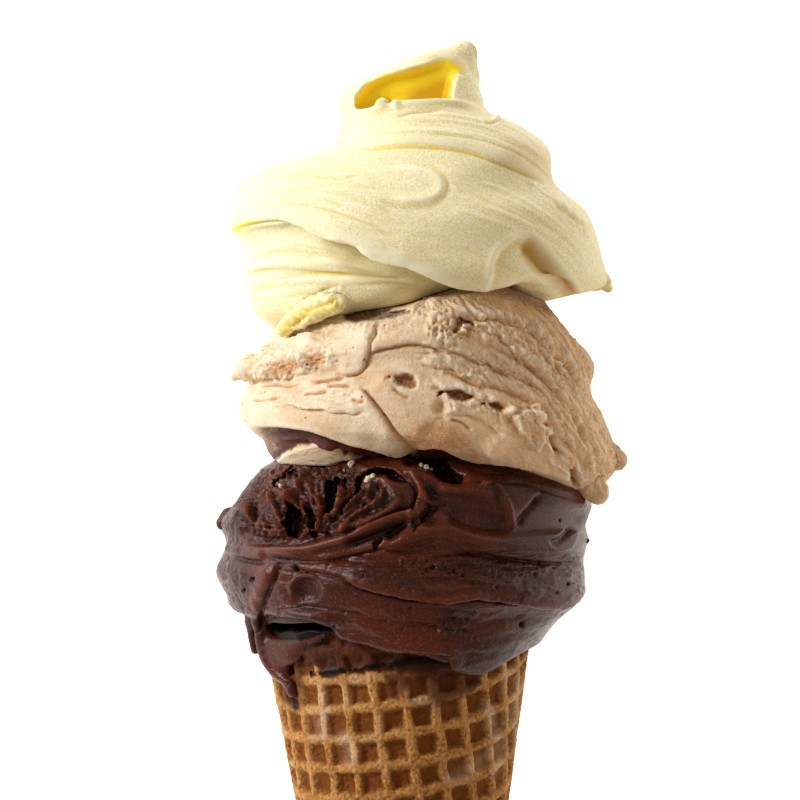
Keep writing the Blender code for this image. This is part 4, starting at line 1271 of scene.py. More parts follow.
class Sculpt:
    """Relief and colour masks on one mesh, drawn over the shown side in the photograph's pixels."""

    def __init__(self, mesh, flow):
        self.mesh = mesh
        self.flow = flow
        self.masks = {}
        self.relief = np.zeros(len(mesh.vertices))
        self.read()

    def read(self):
        """Take the mesh's points and normals as they are now."""
        count = len(self.mesh.vertices)
        flat = np.empty(count * 3, np.float32)
        self.mesh.vertices.foreach_get("co", flat)
        self.points = flat.reshape(-1, 3).astype(float) / MM
        self.mesh.vertex_normals.foreach_get("vector", flat)
        self.normals = flat.reshape(-1, 3).astype(float)
        self.across = self.points[:, 0] + CENTRE_ACROSS
        self.along = self.points[:, 1] + CENTRE_ALONG
        self.deep = self.points[:, 2] - AXIS_HEIGHT
        self.x = self.across / PIXEL + MIDDLE_PIXEL
        self.y = TIP_PIXEL - self.along / PIXEL
        self.front = np.clip(self.deep / 8, 0, 1)
        self.height = np.zeros(count)
        self.slide = np.zeros((count, 2))
        self.sunk = np.zeros(count)

    def mask(self, name):
        """The named colour mask, from 0 to about 1 at each vertex."""
        return self.masks.setdefault(name, np.zeros(len(self.relief)))

    def near(self, path, reach):
        """The shown vertices close enough to a path to be touched."""
        low, high = path.min(axis=0) - reach, path.max(axis=0) + reach
        inside = (self.x > low[0]) & (self.x < high[0]) & (self.y > low[1]) & (self.y < high[1])
        return np.where(inside & (self.deep > 0))[0]

    def stroke(self, points, reach, ragged=0.0):
        """The vertices near a smooth path: distance, fade at its ends, and the way to its right."""
        path = smooth_path(points, [5] * (len(points) - 1))
        which = self.near(path, reach)
        signed, share, right = path_distance(self.x[which], self.y[which], path)
        if ragged:
            signed = signed + ragged * layered_noise(self.points[which] / 1.3, 71, 3)
        fade = np.clip(6 * share, 0, 1) * np.clip(6 * (1 - share), 0, 1)
        return which, signed, fade * fade * (3 - 2 * fade), right

    def ridge(self, points, width, height, ragged=0.0):
        """A rounded ridge, or a groove where the height is negative."""
        which, signed, fade, _ = self.stroke(points, width * 3, ragged)
        self.height[which] += height * fade * np.exp(-((signed / width) ** 2)) * self.front[which]

    def fold(self, points, width, height, edge=1.6, overhang=0.5, crease=0.4, ragged=0.0):
        """A lapped edge: high to its path's left, rolled over the edge, with a crease at its right."""
        which, signed, fade, right = self.stroke(points, max(width * 3, edge * 8), ragged)
        lap = np.exp(-((np.maximum(signed, 0) / width) ** 2)) / (1 + np.exp(-signed / (edge * 0.5)))
        under = np.exp(-(((signed + edge * 1.6) / (edge * 1.3)) ** 2))
        amount = fade * self.front[which]
        self.height[which] += amount * (height * lap - height * crease * under)
        push = amount * height * overhang * np.exp(-(((signed - edge * 0.6) / (edge * 1.6)) ** 2))
        self.slide[which] += right * push[:, None]

    def bump(self, points, radius, height):
        """A round lump, or a pit where the height is negative."""
        spot = np.array(points, float)
        which = self.near(spot, radius * 2.5)
        away = np.hypot(self.x[which] - spot[0, 0], self.y[which] - spot[0, 1]) / radius
        rise = np.exp(-(away**4)) if height < 0 else np.exp(-(away**2) * 1.2)
        self.height[which] += height * rise * self.front[which]

    def inside(self, points, edge, ragged=0.0, seed=71):
        """How far inside a closed path each vertex is, from 0 outside its edge to 1."""
        path = smooth_path(points + points[:1], [5] * len(points))
        which = self.near(path, edge * 2)
        signed, _, _ = path_distance(self.x[which], self.y[which], path)
        within = -signed if goes_clockwise(path) else signed
        if ragged:
            within = within + ragged * layered_noise(self.points[which] / 1.1, seed, 3)
        amount = np.clip(0.5 + within / edge, 0, 1)
        return which, amount * amount * (3 - 2 * amount)

    def within(self, points):
        """How far inside a closed path each vertex lies, in pixels, and less than nothing outside it."""
        path = smooth_path(points + points[:1], [5] * len(points))
        which = self.near(path, 12)
        signed, _, _ = path_distance(self.x[which], self.y[which], path)
        out = np.full(len(self.relief), -99.0)
        out[which] = -signed if goes_clockwise(path) else signed
        return out

    def bed(self, points, height, edge, ragged=0.0):
        """A patch raised or sunk all over."""
        which, amount = self.inside(points, edge, ragged)
        self.height[which] += height * amount * self.front[which]

    def lines(self, first, last, count, width, height, seed, ragged=0.0):
        """Many fine ridges, spread from a first path to a last one by a seeded draw."""
        first = smooth_path(first, [4] * (len(first) - 1))
        last = smooth_path(last, [4] * (len(last) - 1))
        spots = np.linspace(0, 1, 9)
        first, last = (
            np.stack([np.interp(spots, np.linspace(0, 1, len(p)), p[:, k]) for k in (0, 1)], axis=1)
            for p in (first, last)
        )
        draw = np.random.default_rng(seed)
        for k in range(count):
            share = (k + 0.5 + 0.6 * draw.uniform(-1, 1)) / count
            start, end = sorted((draw.integers(0, 4), draw.integers(5, 9)))
            path = first + (last - first) * share + draw.normal(0, width * 0.25, first.shape)
            strength = height * draw.uniform(0.4, 1.4) * (1 if draw.random() < 0.7 else -1)
            self.ridge(path[start : end + 1], width * draw.uniform(0.6, 1.4), strength, ragged)

    def drawn_out(self, which, coarse, fine):
        """Places for a pattern that is long round the layer and fine across it, in millimetres."""
        turn = np.arctan2(self.deep[which], self.across[which])
        spots = [np.cos(turn) * 33 / coarse, np.sin(turn) * 33 / coarse, self.level()[which] / fine]
        return np.stack(spots, axis=1)

    def crags(self, points, size, height, edge, seed, stretch=0.0):
        """Broken, crumbly relief in a patch, of lumps of the given size in millimetres."""
        which, amount = self.inside(points, edge, edge * 0.4, seed)
        spots = self.drawn_out(which, size * stretch, size) if stretch else self.points[which] / size
        lumps = layered_noise(spots, seed, 4)
        broken = 0.5 - np.abs(layered_noise(spots * 1.3, seed + 9, 4))
        self.height[which] += height * amount * self.front[which] * (0.6 * lumps + 1.2 * broken)

    def shreds(self, points, coarse, fine, height, edge, seed):
        """Torn lines in a patch, drawn out along the swirl, of sizes in millimetres."""
        which, amount = self.inside(points, edge, edge * 0.3, seed)
        spots = self.drawn_out(which, coarse, fine)
        spots[:, 2] += 0.5 / fine * noise(self.points[which] / 2.5, seed)
        crest = 1 - np.clip(2.4 * np.abs(layered_noise(spots, seed, 4)), 0, 1)
        self.height[which] += height * amount * self.front[which] * (crest**1.5 - 0.35)

    def hole(self, points, depth, edge=4.0, ragged=2.6, seed=61):
        """A steep hole, sunk straight down from the shown side."""
        which, amount = self.inside(points, edge, ragged, seed)
        floor = 1 + 0.25 * layered_noise(self.points[which] / 1.2, seed, 3)
        self.sunk[which] = np.minimum(self.sunk[which], depth * amount * floor)

    def scatter_pores(self, points, count, radius, depth, seed):
        """Small holes spread by a seeded draw over a patch."""
        draw = np.random.default_rng(seed)
        corners = np.array(points, float)
        for _ in range(count):
            x, y = draw.uniform(corners.min(axis=0), corners.max(axis=0))
            self.bump([(x, y)], radius * draw.uniform(0.5, 1.4), -depth * draw.uniform(0.5, 1.2))

    def draw(self, forms, lines, crags, holes, shreds):
        """Add all the relief of these tables."""
        for kind, settings, path in forms.values():
            getattr(self, kind)(path, **settings)
        for settings, first, last in lines.values():
            self.lines(first, last, **settings)
        for settings, path in crags.values():
            self.crags(path, **settings)
        for settings, path in shreds.values():
            self.shreds(path, **settings)
        for depth, path in holes.values():
            self.hole(path, depth)

    def paint(self, name, points, width, strength):
        """Colour along a path."""
        which, signed, fade, _ = self.stroke(points, width * 3)
        mask = self.mask(name)
        mask[which] = np.maximum(mask[which], strength * fade * np.exp(-((signed / width) ** 2)))

    def paint_patch(self, name, points, edge, strength, ragged=0.0, seed=81):
        """Colour inside a closed path."""
        which, amount = self.inside(points, edge, ragged, seed)
        mask = self.mask(name)
        mask[which] = np.maximum(mask[which], strength * amount)

    def level(self):
        """The height of each vertex along the object, bent to follow the swirl."""
        bend = np.interp(self.x, [p[0] for p in self.flow], [p[1] for p in self.flow]) * PIXEL
        return self.along + bend * np.clip(self.deep / 12 + 0.4, 0, 1)

    def streaks(self, coarse, fine, height, seed, octaves=3):
        """Fine lines drawn out round the layer by the spatula, of sizes in millimetres."""
        everywhere = np.arange(len(self.relief))
        self.height += height * layered_noise(self.drawn_out(everywhere, coarse, fine), seed, octaves)

    def grain(self, size, height, seed, octaves=1):
        """Even, fine unevenness over the whole surface."""
        self.height += height * layered_noise(self.points / size, seed, octaves)

    def wind_back(self, spacing, turns, height, ragged):
        """Lapped folds that wind round the hidden side."""
        turn = np.arctan2(self.deep, self.across) / (2 * math.pi)
        wander = layered_noise(self.points / 14.0, 91, 3)
        phase = (self.along / spacing + turns * turn + 0.35 * wander) % 1.0
        lap = phase**2 * (3 - 2 * phase) * np.clip((1 - phase) / 0.12, 0, 1)
        rough = ragged * layered_noise(self.points / 1.6, 92, 4)
        self.height += (height * (lap - 0.35) + rough) * np.clip(-self.deep / 10, 0, 1)

    def apply(self):
        """Move the vertices, with nothing below the floor, and take the new surface."""
        moved = self.points + self.normals * self.height[:, None]
        moved[:, 0] += self.slide[:, 0]
        moved[:, 1] -= self.slide[:, 1]
        moved[:, 2] = np.maximum(moved[:, 2] + self.sunk, 0)
        self.relief += self.height + np.maximum(self.sunk, SHALLOW)
        self.mesh.vertices.foreach_set("co", (moved * MM).astype(np.float32).ravel())
        self.mesh.update()
        self.read()

    def neighbours(self):
        """Each edge's two vertices, and the number of edges at each vertex."""
        ends = np.empty(len(self.mesh.edges) * 2, np.int64)
        self.mesh.edges.foreach_get("vertices", ends)
        a, b = ends.reshape(-1, 2).T
        size = len(self.relief)
        return a, b, np.maximum(np.bincount(a, minlength=size) + np.bincount(b, minlength=size), 1)

    def smoothed(self, values, rounds):
        """Values averaged over each vertex's neighbours, this many times."""
        a, b, number = self.neighbours()
        size = len(values)
        for _ in range(rounds):
            values = (np.bincount(a, values[b], size) + np.bincount(b, values[a], size)) / number
        return values

    def relax(self, points, edge, rounds):
        """Round off the joins inside a closed path."""
        which, amount = self.inside(points, edge)
        share = np.zeros(len(self.relief))
        share[which] = amount
        for axis in range(3):
            column = self.points[:, axis]
            self.points[:, axis] = column + (self.smoothed(column, rounds) - column) * share
        self.mesh.vertices.foreach_set("co", (self.points * MM).astype(np.float32).ravel())
        self.mesh.update()
        self.read()

    def finish(self):
        """Apply the relief, store the masks and how hollow each place is, for painted shade and highlight."""
        self.apply()
        self.masks["hollow"] = self.smoothed(self.relief, 14) - self.relief
        for name, values in self.masks.items():
            layer = self.mesh.attributes.new(name, "FLOAT", "POINT")
            layer.data.foreach_set("value", values.astype(np.float32))
        self.mesh.update()


def piece(name, mesh, node, material):
    """A finished piece, which may stand for a node of the solids."""
    item = bpy.data.objects.new(name, mesh)
    bpy.context.scene.collection.objects.link(item)
    mesh.materials.clear()
    mesh.materials.append(material)
    mesh.shade_smooth()
    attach(item, "root")
    if node:
        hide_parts(node)
    return item


def principled(name, inputs):
    """A material with these constant values on its shader."""
    material = bpy.data.materials.new(name)
    material.use_nodes = True
    shader = material.node_tree.nodes["Principled BSDF"]
    for socket, value in inputs.items():
        shader.inputs[socket].default_value = value
    return material, material.node_tree, shader


def layered_colour(tree, base, layers):
    """The base colour, turned to each layer's colour as its mask goes from one value to another."""
    colour = hex_colour(base)
    for mask, low, high, tint in layers:
        if isinstance(mask, str):
            mask = add(tree, "ShaderNodeAttribute", attribute_name=mask).outputs["Fac"]
        share = add(tree, "ShaderNodeMapRange", {0: mask, 1: low, 2: high}).outputs[0]
        inputs = {0: share, 6: colour, 7: hex_colour(tint)}
        colour = add(tree, "ShaderNodeMix", inputs, data_type="RGBA").outputs[2]
    return colour


def lemon_gelato_material():
    """Churned lemon gelato: satin, finely icy and translucent, with its folds and hollows painted a deeper
    yellow as painted shade and glow.
    """
    values = {
        "IOR": 1.35,
        "Roughness": 0.55,
        "Subsurface Weight": 0.3,
        "Subsurface Radius": (1.0, 0.85, 0.35),
        "Subsurface Scale": 0.0025,
    }
    material, tree, shader = principled("lemon_gelato", values)
    spot = add(tree, "ShaderNodeTexCoord").outputs["Object"]
    cloudy = {"Vector": spot, "Scale": cells_of(LEMON_CLOUD), "Detail": 4.0}
    cloud = add(tree, "ShaderNodeTexNoise", cloudy).outputs["Fac"]
    icy = {"Vector": spot, "Scale": cells_of(LEMON_ICE), "Detail": 3.0}
    ice = add(tree, "ShaderNodeTexNoise", icy).outputs["Fac"]
    # The cloud and the ice are the gelato's own colour. The rest is painted light: deeper yellows in hollows
    # as painted shade and a paler cream on crests as painted highlight; painted shade on the lower band under
    # the lip, in the amber places and at the lower right of the curl's hollow; and a glowing yellow, painted
    # as shade and glow, in the curl's hollow, under the lip's left end and in the neck's crease, also painted
    # along the flake's edge.
    layers = [
        (cloud, 0.4, 0.65, "#E9DDA6"),
        (ice, 0.5, 0.72, "#FBF7E2"),
        (ice, 0.46, 0.3, "#DCCE96"),
        ("hollow", 0.03, 0.5, "#DDBE58"),
        ("hollow", 0.4, 1.2, "#AF8022"),
        ("hollow", -0.03, -0.35, "#F6F0CE"),
        ("painted_band_shade", 0.0, 1.0, "#BFAF70"),
        ("painted_amber_shade", 0.0, 1.0, "#C49A44"),
        ("pocket", 0.0, 1.0, "#FFE22A"),
        ("painted_ochre_shade", 0.0, 1.0, "#D4A406"),
    ]
    bump = add(tree, "ShaderNodeBump", {"Strength": 0.3, "Distance": 0.0002, "Height": ice})
    tree.links.new(layered_colour(tree, "#EEE3B2", layers), shader.inputs["Base Color"])
    tree.links.new(bump.outputs["Normal"], shader.inputs["Normal"])
    return material


def hazelnut_gelato_material():
    """Hazelnut gelato: matt and grainy, with specks of nut skin, chocolate smeared at its foot, and painted
    shade in its hollows and cracks and towards its right side.
    """
    values = {
        "IOR": 1.36,
        "Specular IOR Level": 0.3,
        "Subsurface Weight": 0.15,
        "Subsurface Radius": (1.0, 0.7, 0.4),
        "Subsurface Scale": 0.0015,
    }
    material, tree, shader = principled("hazelnut_gelato", values)
    spot = add(tree, "ShaderNodeTexCoord").outputs["Object"]
    cloudy = {"Vector": spot, "Scale": cells_of(HAZELNUT_CLOUD), "Detail": 5.0}
    cloud = add(tree, "ShaderNodeTexNoise", cloudy).outputs["Fac"]
    grainy = {"Vector": spot, "Scale": cells_of(HAZELNUT_GRAIN), "Detail": 4.0}
    grain = add(tree, "ShaderNodeTexNoise", grainy).outputs["Fac"]
    specked = {"Vector": spot, "Scale": cells_of(NUT_SPECKS)}
    cells = add(tree, "ShaderNodeTexVoronoi", specked).outputs["Distance"]
    thinned = {"Vector": spot, "Scale": cells_of(SPECKLED_PLACES), "Detail": 2.0}
    rare = add(tree, "ShaderNodeTexNoise", thinned).outputs["Fac"]
    near = add(tree, "ShaderNodeMapRange", {0: cells, 1: 0.07, 2: 0.14, 3: 1.0, 4: 0.0}).outputs[0]
    some = add(tree, "ShaderNodeMapRange", {0: rare, 1: 0.52, 2: 0.6}).outputs[0]
    speck = add(tree, "ShaderNodeMath", {0: near, 1: some}, operation="MULTIPLY").outputs[0]
    # Painted light among the gelato's own colours: tan towards the right side, warm brown in cracks and
    # hollows, darker browns in hollows and dark in holes and the crevice, all as painted shade; mauve as
    # painted shade under the lemon; a paler cream on crests as painted highlight. The mauve also holds a
    # stain at the waist, and the smeared chocolate also darkens a shaded gap.
    layers = [
        ("tan", 0.0, 1.0, "#E6C094"),
        (cloud, 0.45, 0.75, "#D9B489"),
        ("warmth_and_painted_shade", 0.0, 1.0, "#C08242"),
        ("hollow", 0.1, 0.9, "#C08C58"),
        ("hollow", 0.7, 1.6, "#7A4A24"),
        ("hollow", -0.1, -0.8, "#F6EAD6"),
        (speck, 0.0, 1.0, "#7A4A2A"),
        ("mauve_stain_and_painted_shade", 0.0, 1.0, "#84604E"),
        ("painted_recess_shade", 0.0, 1.0, "#6A3A1C"),
        (grain, 0.55, 0.78, "#F8E8D0"),
        (grain, 0.4, 0.24, "#C49C70"),
        ("chocolate_and_painted_shadow", 0.0, 1.0, "#54200F"),
    ]
    chocolate_and_painted_shadow = add(tree, "ShaderNodeAttribute", attribute_name="chocolate_and_painted_shadow").outputs["Fac"]
    gloss = add(tree, "ShaderNodeMapRange", {0: chocolate_and_painted_shadow, 1: 0.2, 2: 0.8, 3: 0.65, 4: 0.45}).outputs[0]
    bump = add(tree, "ShaderNodeBump", {"Strength": 0.6, "Distance": 0.0003, "Height": grain})
    tree.links.new(layered_colour(tree, "#EAD7B6", layers), shader.inputs["Base Color"])
    tree.links.new(gloss, shader.inputs["Roughness"])
    tree.links.new(bump.outputs["Normal"], shader.inputs["Normal"])
    return material


def chocolate_gelato_material():
    """Dark chocolate gelato: wet and glossy where it is smeared, duller and crumbly where it is torn."""
    material, tree, shader = principled("chocolate_gelato", {"IOR": 1.45, "Specular IOR Level": 0.27})
    spot = add(tree, "ShaderNodeTexCoord").outputs["Object"]
    cloudy = {"Vector": spot, "Scale": cells_of(CHOCOLATE_CLOUD), "Detail": 5.0}
    cloud = add(tree, "ShaderNodeTexNoise", cloudy).outputs["Fac"]
    grainy = {"Vector": spot, "Scale": cells_of(CHOCOLATE_GRAIN), "Detail": 3.0}
    grain = add(tree, "ShaderNodeTexNoise", grainy).outputs["Fac"]
    # Painted shade: near black in hollows, pits and the recess under the rim; painted highlight: a redder
    # brown on crests
    layers = [
        (cloud, 0.38, 0.62, "#37150A"),
        ("hollow", 0.03, 0.5, "#120402"),
        ("hollow", -0.15, -0.9, "#6B2F15"),
        # Lighter specks on the grain: partly the gelato's grain, partly painted glints
        (grain, 0.56, 0.76, "#7A4826"),
        ("painted_recess_shade", 0.0, 1.0, "#0E0402"),
    ]
    torn = add(tree, "ShaderNodeAttribute", attribute_name="torn").outputs["Fac"]
    wet = add(tree, "ShaderNodeMapRange", {0: cloud, 1: 0.35, 2: 0.65, 3: 0.2, 4: 0.36}).outputs[0]
    gloss = add(tree, "ShaderNodeMath", {0: torn, 1: 0.08, 2: wet}, operation="MULTIPLY_ADD").outputs[0]
    bump = add(tree, "ShaderNodeBump", {"Strength": 0.35, "Distance": 0.0003, "Height": grain})
    tree.links.new(layered_colour(tree, "#521E0E", layers), shader.inputs["Base Color"])
    tree.links.new(gloss, shader.inputs["Roughness"])
    tree.links.new(bump.outputs["Normal"], shader.inputs["Normal"])
    return material


def waffle_material():
    """Baked waffle: dry golden ridges, browner pockets, pale flour on some ridges, chocolate at the top, and
    painted shadow under the chocolate's lip.
    """
    values = {"IOR": 1.45, "Specular IOR Level": 0.14, "Subsurface Weight": 0.05, "Subsurface Scale": 0.001}
    material, tree, shader = principled("baked_waffle", values)
    spot = add(tree, "ShaderNodeTexCoord").outputs["Object"]
    cloudy = {"Vector": spot, "Scale": cells_of(WAFFLE_CLOUD), "Detail": 6.0}
    cloud = add(tree, "ShaderNodeTexNoise", cloudy).outputs["Fac"]
    toasted = {"Vector": spot, "Scale": cells_of(TOASTED_PLACES), "Detail": 3.0}
    toast = add(tree, "ShaderNodeTexNoise", toasted).outputs["Fac"]
    grainy = {"Vector": spot, "Scale": cells_of(WAFFLE_GRAIN), "Detail": 4.0}
    grain = add(tree, "ShaderNodeTexNoise", grainy).outputs["Fac"]
    layers = [
        (cloud, 0.42, 0.66, "#A0682F"),
        (toast, 0.45, 0.85, "#84501F"),
        (grain, 0.5, 0.76, "#D4A566"),
        ("pocket", 0.1, 1.1, "#763D11"),
        (grain, 0.44, 0.26, "#5C2E0C"),
        ("flour", 0.0, 1.0, "#D2B692"),
        # Chocolate, brown where thin; its near black is partly chocolate and partly painted shadow under the
        # lip
        ("chocolate_and_painted_shadow", 0.0, 0.5, "#5A2E14"),
        ("chocolate_and_painted_shadow", 0.5, 1.0, "#120402"),
    ]
    chocolate_and_painted_shadow = add(tree, "ShaderNodeAttribute", attribute_name="chocolate_and_painted_shadow").outputs["Fac"]
    gloss = add(tree, "ShaderNodeMapRange", {0: chocolate_and_painted_shadow, 1: 0.4, 2: 0.9, 3: 0.8, 4: 0.4}).outputs[0]
    rough = add(tree, "ShaderNodeMapRange", {0: chocolate_and_painted_shadow, 1: 0.3, 2: 0.9, 3: 1.0, 4: 0.1}).outputs[0]
    bump = add(tree, "ShaderNodeBump", {"Strength": rough, "Distance": 0.0005, "Height": grain})
    tree.links.new(layered_colour(tree, "#C28A4C", layers), shader.inputs["Base Color"])
    tree.links.new(gloss, shader.inputs["Roughness"])
    tree.links.new(bump.outputs["Normal"], shader.inputs["Normal"])
    return material


def waffle_cone_tree(material):
    """Nodes that lay out the waffle's square pockets on a flat sheet and roll it into the cone."""
    tree = bpy.data.node_groups.new("rolled_waffle", "GeometryNodeTree")
    sizes = {
        "Half angle": CONE_HALF_ANGLE,
        "Lean": CONE_LEAN,
        "Apex across": APEX_ACROSS - CENTRE_ACROSS,
        "Apex along": APEX_ALONG - CENTRE_ALONG,
        "Axis height": AXIS_HEIGHT,
        "Tip": TIP_REACH,
        "Rim": (RIM_ALONG - APEX_ALONG) / math.cos(CONE_LEAN),
        "Pitch": WAFFLE_PITCH,
        "Depth": WAFFLE_DEPTH,
        "Seam turn": SEAM_ANGLE,
        "Seam step": SEAM_STEP,
        "Seam middle": SEAM_MIDDLE,
        "Lattice turn": LATTICE_TURN,
        "Tip radius": TIP_RADIUS,
    }
    tree.interface.new_socket("Geometry", in_out="OUTPUT", socket_type="NodeSocketGeometry")
    for name in sizes:
        tree.interface.new_socket(name, in_out="INPUT", socket_type="NodeSocketFloat")
    for name in ("Columns", "Rows"):
        tree.interface.new_socket(name, in_out="INPUT", socket_type="NodeSocketInt")
    given = add(tree, "NodeGroupInput").outputs
    grid = {"Size X": 1.0, "Size Y": 1.0, "Vertices X": given["Columns"], "Vertices Y": given["Rows"]}
    sheet = add(tree, "GeometryNodeMeshGrid", grid)
    split = add(tree, "ShaderNodeSeparateXYZ", {0: add(tree, "GeometryNodeInputPosition").outputs[0]})
    flat = add(tree, "ShaderNodeCombineXYZ")
    wall = {1: WALL_TOP, 2: WALL_FOOT, 3: 0.0, 4: 1.0}
    pocket = add(tree, "ShaderNodeMapRange", wall, interpolation_type="SMOOTHSTEP")
    known = {"x": split.outputs[0], "y": split.outputs[1], "sunk": pocket.outputs[0]}
    for name in sizes:
        known[name] = given[name]
    for name, cell, detail, roughness in WAFFLE_NOISES:
        inputs = {
            "Vector": flat.outputs[0],
            "Scale": WAFFLE_PITCH / cell,
            "Detail": detail,
            "Roughness": roughness,
        }
        known[name] = add(tree, "ShaderNodeTexNoise", inputs).outputs["Fac"]
    for name, operation, *terms in WAFFLE_STEPS:
        inputs = {socket: known.get(term, term) for socket, term in enumerate(terms)}
        known[name] = add(tree, "ShaderNodeMath", inputs, operation=operation).outputs[0]
    tree.links.new(known["u"], flat.inputs[0])
    tree.links.new(known["v"], flat.inputs[1])
    tree.links.new(known["inward"], pocket.inputs[0])
    spot = {0: known["place across"], 1: known["place along"], 2: known["place deep"]}
    moved = {"Position": add(tree, "ShaderNodeCombineXYZ", spot).outputs[0]}
    marked = {"Geometry": sheet.outputs["Mesh"], "Name": "pocket", "Value": known["sunk"]}
    moved["Geometry"] = add(tree, "GeometryNodeStoreNamedAttribute", marked, data_type="FLOAT").outputs[0]
    rolled_up = add(tree, "GeometryNodeSetPosition", moved)
    real = add(tree, "GeometryNodeRealizeInstances", {"Geometry": rolled_up.outputs[0]})
    coated = add(tree, "GeometryNodeSetMaterial", {"Geometry": real.outputs[0], "Material": material})
    add(tree, "NodeGroupOutput", {"Geometry": coated.outputs[0]})
    return tree, {**sizes, "Columns": CONE_COLUMNS, "Rows": CONE_ROWS}


def made_by(tree, sizes, name, mesh=None):
    """A plain mesh from a geometry tree, with its inputs set by their sockets' identifiers."""
    holder = bpy.data.objects.new(name, mesh or bpy.data.meshes.new(name))
    bpy.context.scene.collection.objects.link(holder)
    modifier = holder.modifiers.new("Shape", "NODES")
    modifier.node_group = tree
    for socket in tree.interface.items_tree:
        if socket.in_out == "INPUT" and socket.name in sizes:
            modifier[socket.identifier] = sizes[socket.name]
    bpy.context.view_layer.update()
    made = bpy.data.meshes.new_from_object(holder.evaluated_get(bpy.context.evaluated_depsgraph_get()))
    holder.modifiers.remove(modifier)
    bpy.data.objects.remove(holder, do_unlink=True)
    return made


def crumb_tree(material):
    """Nodes that put a rough crumb on each point, at the size that the point holds."""
    tree = bpy.data.node_groups.new("crumbs", "GeometryNodeTree")
    tree.interface.new_socket("Geometry", in_out="OUTPUT", socket_type="NodeSocketGeometry")
    tree.interface.new_socket("Geometry", in_out="INPUT", socket_type="NodeSocketGeometry")
    for name in ("Roughness", "Lump size"):
        tree.interface.new_socket(name, in_out="INPUT", socket_type="NodeSocketFloat")
    tree.interface.new_socket("Seed", in_out="INPUT", socket_type="NodeSocketInt")
    given = add(tree, "NodeGroupInput").outputs
    lump = add(tree, "GeometryNodeMeshIcoSphere", {"Radius": 1.0, "Subdivisions": 4}).outputs["Mesh"]
    size = add(tree, "GeometryNodeInputNamedAttribute", {"Name": "radius"}, data_type="FLOAT").outputs[0]
    any_turn = {1: (6.3, 6.3, 6.3), 8: given["Seed"]}
    spin = add(tree, "FunctionNodeRandomValue", any_turn, data_type="FLOAT_VECTOR")
    turn = add(tree, "FunctionNodeEulerToRotation", {0: spin.outputs[0]}).outputs[0]
    parts = {"Points": given["Geometry"], "Instance": lump, "Scale": size, "Rotation": turn}
    placed = add(tree, "GeometryNodeInstanceOnPoints", parts).outputs[0]
    real = add(tree, "GeometryNodeRealizeInstances", {"Geometry": placed}).outputs[0]
    detail = add(tree, "ShaderNodeMath", {0: 1.0, 1: given["Lump size"]}, operation="DIVIDE").outputs[0]
    rough = add(tree, "ShaderNodeTexNoise", {"Scale": detail, "Detail": 3.0}).outputs["Color"]
    both_ways = {0: rough, 1: (0.5, 0.5, 0.5)}
    centred = add(tree, "ShaderNodeVectorMath", both_ways, operation="SUBTRACT").outputs[0]
    push = add(tree, "ShaderNodeVectorMath", {0: centred, "Scale": given["Roughness"]}, operation="SCALE")
    shaped = add(tree, "GeometryNodeSetPosition", {"Geometry": real, "Offset": push.outputs[0]}).outputs[0]
    coated = add(tree, "GeometryNodeSetMaterial", {"Geometry": shaped, "Material": material}).outputs[0]
    add(tree, "NodeGroupOutput", {"Geometry": coated})
    return tree, {"Roughness": 0.7 * MM, "Lump size": 0.45 * MM, "Seed": 5}


def make_crumbs(chocolate, material):
    """Crumbs that fell from the hazelnut gelato on to the chocolate."""
    spots = []
    for x, y, radius in WHITE_CRUMBS:
        away = np.hypot(chocolate.x - x, chocolate.y - y) + np.where(chocolate.deep > 0, 0, 1e3)
        spots.append(chocolate.points[np.argmin(away)] + chocolate.normals[np.argmin(away)] * radius * 0.5)
    base = bpy.data.meshes.new("crumb_spots")
    base.from_pydata((np.array(spots) * MM).tolist(), [], [])
    sizes = base.attributes.new("radius", "FLOAT", "POINT")
    sizes.data.foreach_set("value", [radius * MM for _, _, radius in WHITE_CRUMBS])
    mesh = made_by(*crumb_tree(material), "hazelnut_crumbs", base)
    return piece("hazelnut_crumbs", mesh, None, material)


def close_cone(mesh):
    """Close the rolled sheet along its seam, over its tip and inside its rim."""
    bm = bmesh.new()
    bm.from_mesh(mesh)
    bm.verts.ensure_lookup_table()
    first = bm.verts[:CONE_ROWS]
    last = bm.verts[-CONE_ROWS:]
    for k in range(CONE_ROWS - 1):
        bm.faces.new((first[k], first[k + 1], last[k + 1], last[k]))
    ends = [[bm.verts[k * CONE_ROWS + end] for k in range(CONE_COLUMNS)] for end in (0, CONE_ROWS - 1)]
    for ring, beyond in zip(ends, (TIP_BULGE, 0)):
        middle = sum((vert.co for vert in ring), Vector()) / len(ring)
        centre = bm.verts.new(middle - Vector((0, beyond * MM, 0)))
        for k, vert in enumerate(ring):
            bm.faces.new((vert, ring[(k + 1) % len(ring)], centre))
    bmesh.ops.recalc_face_normals(bm, faces=bm.faces)
    bm.to_mesh(mesh)
    bm.free()


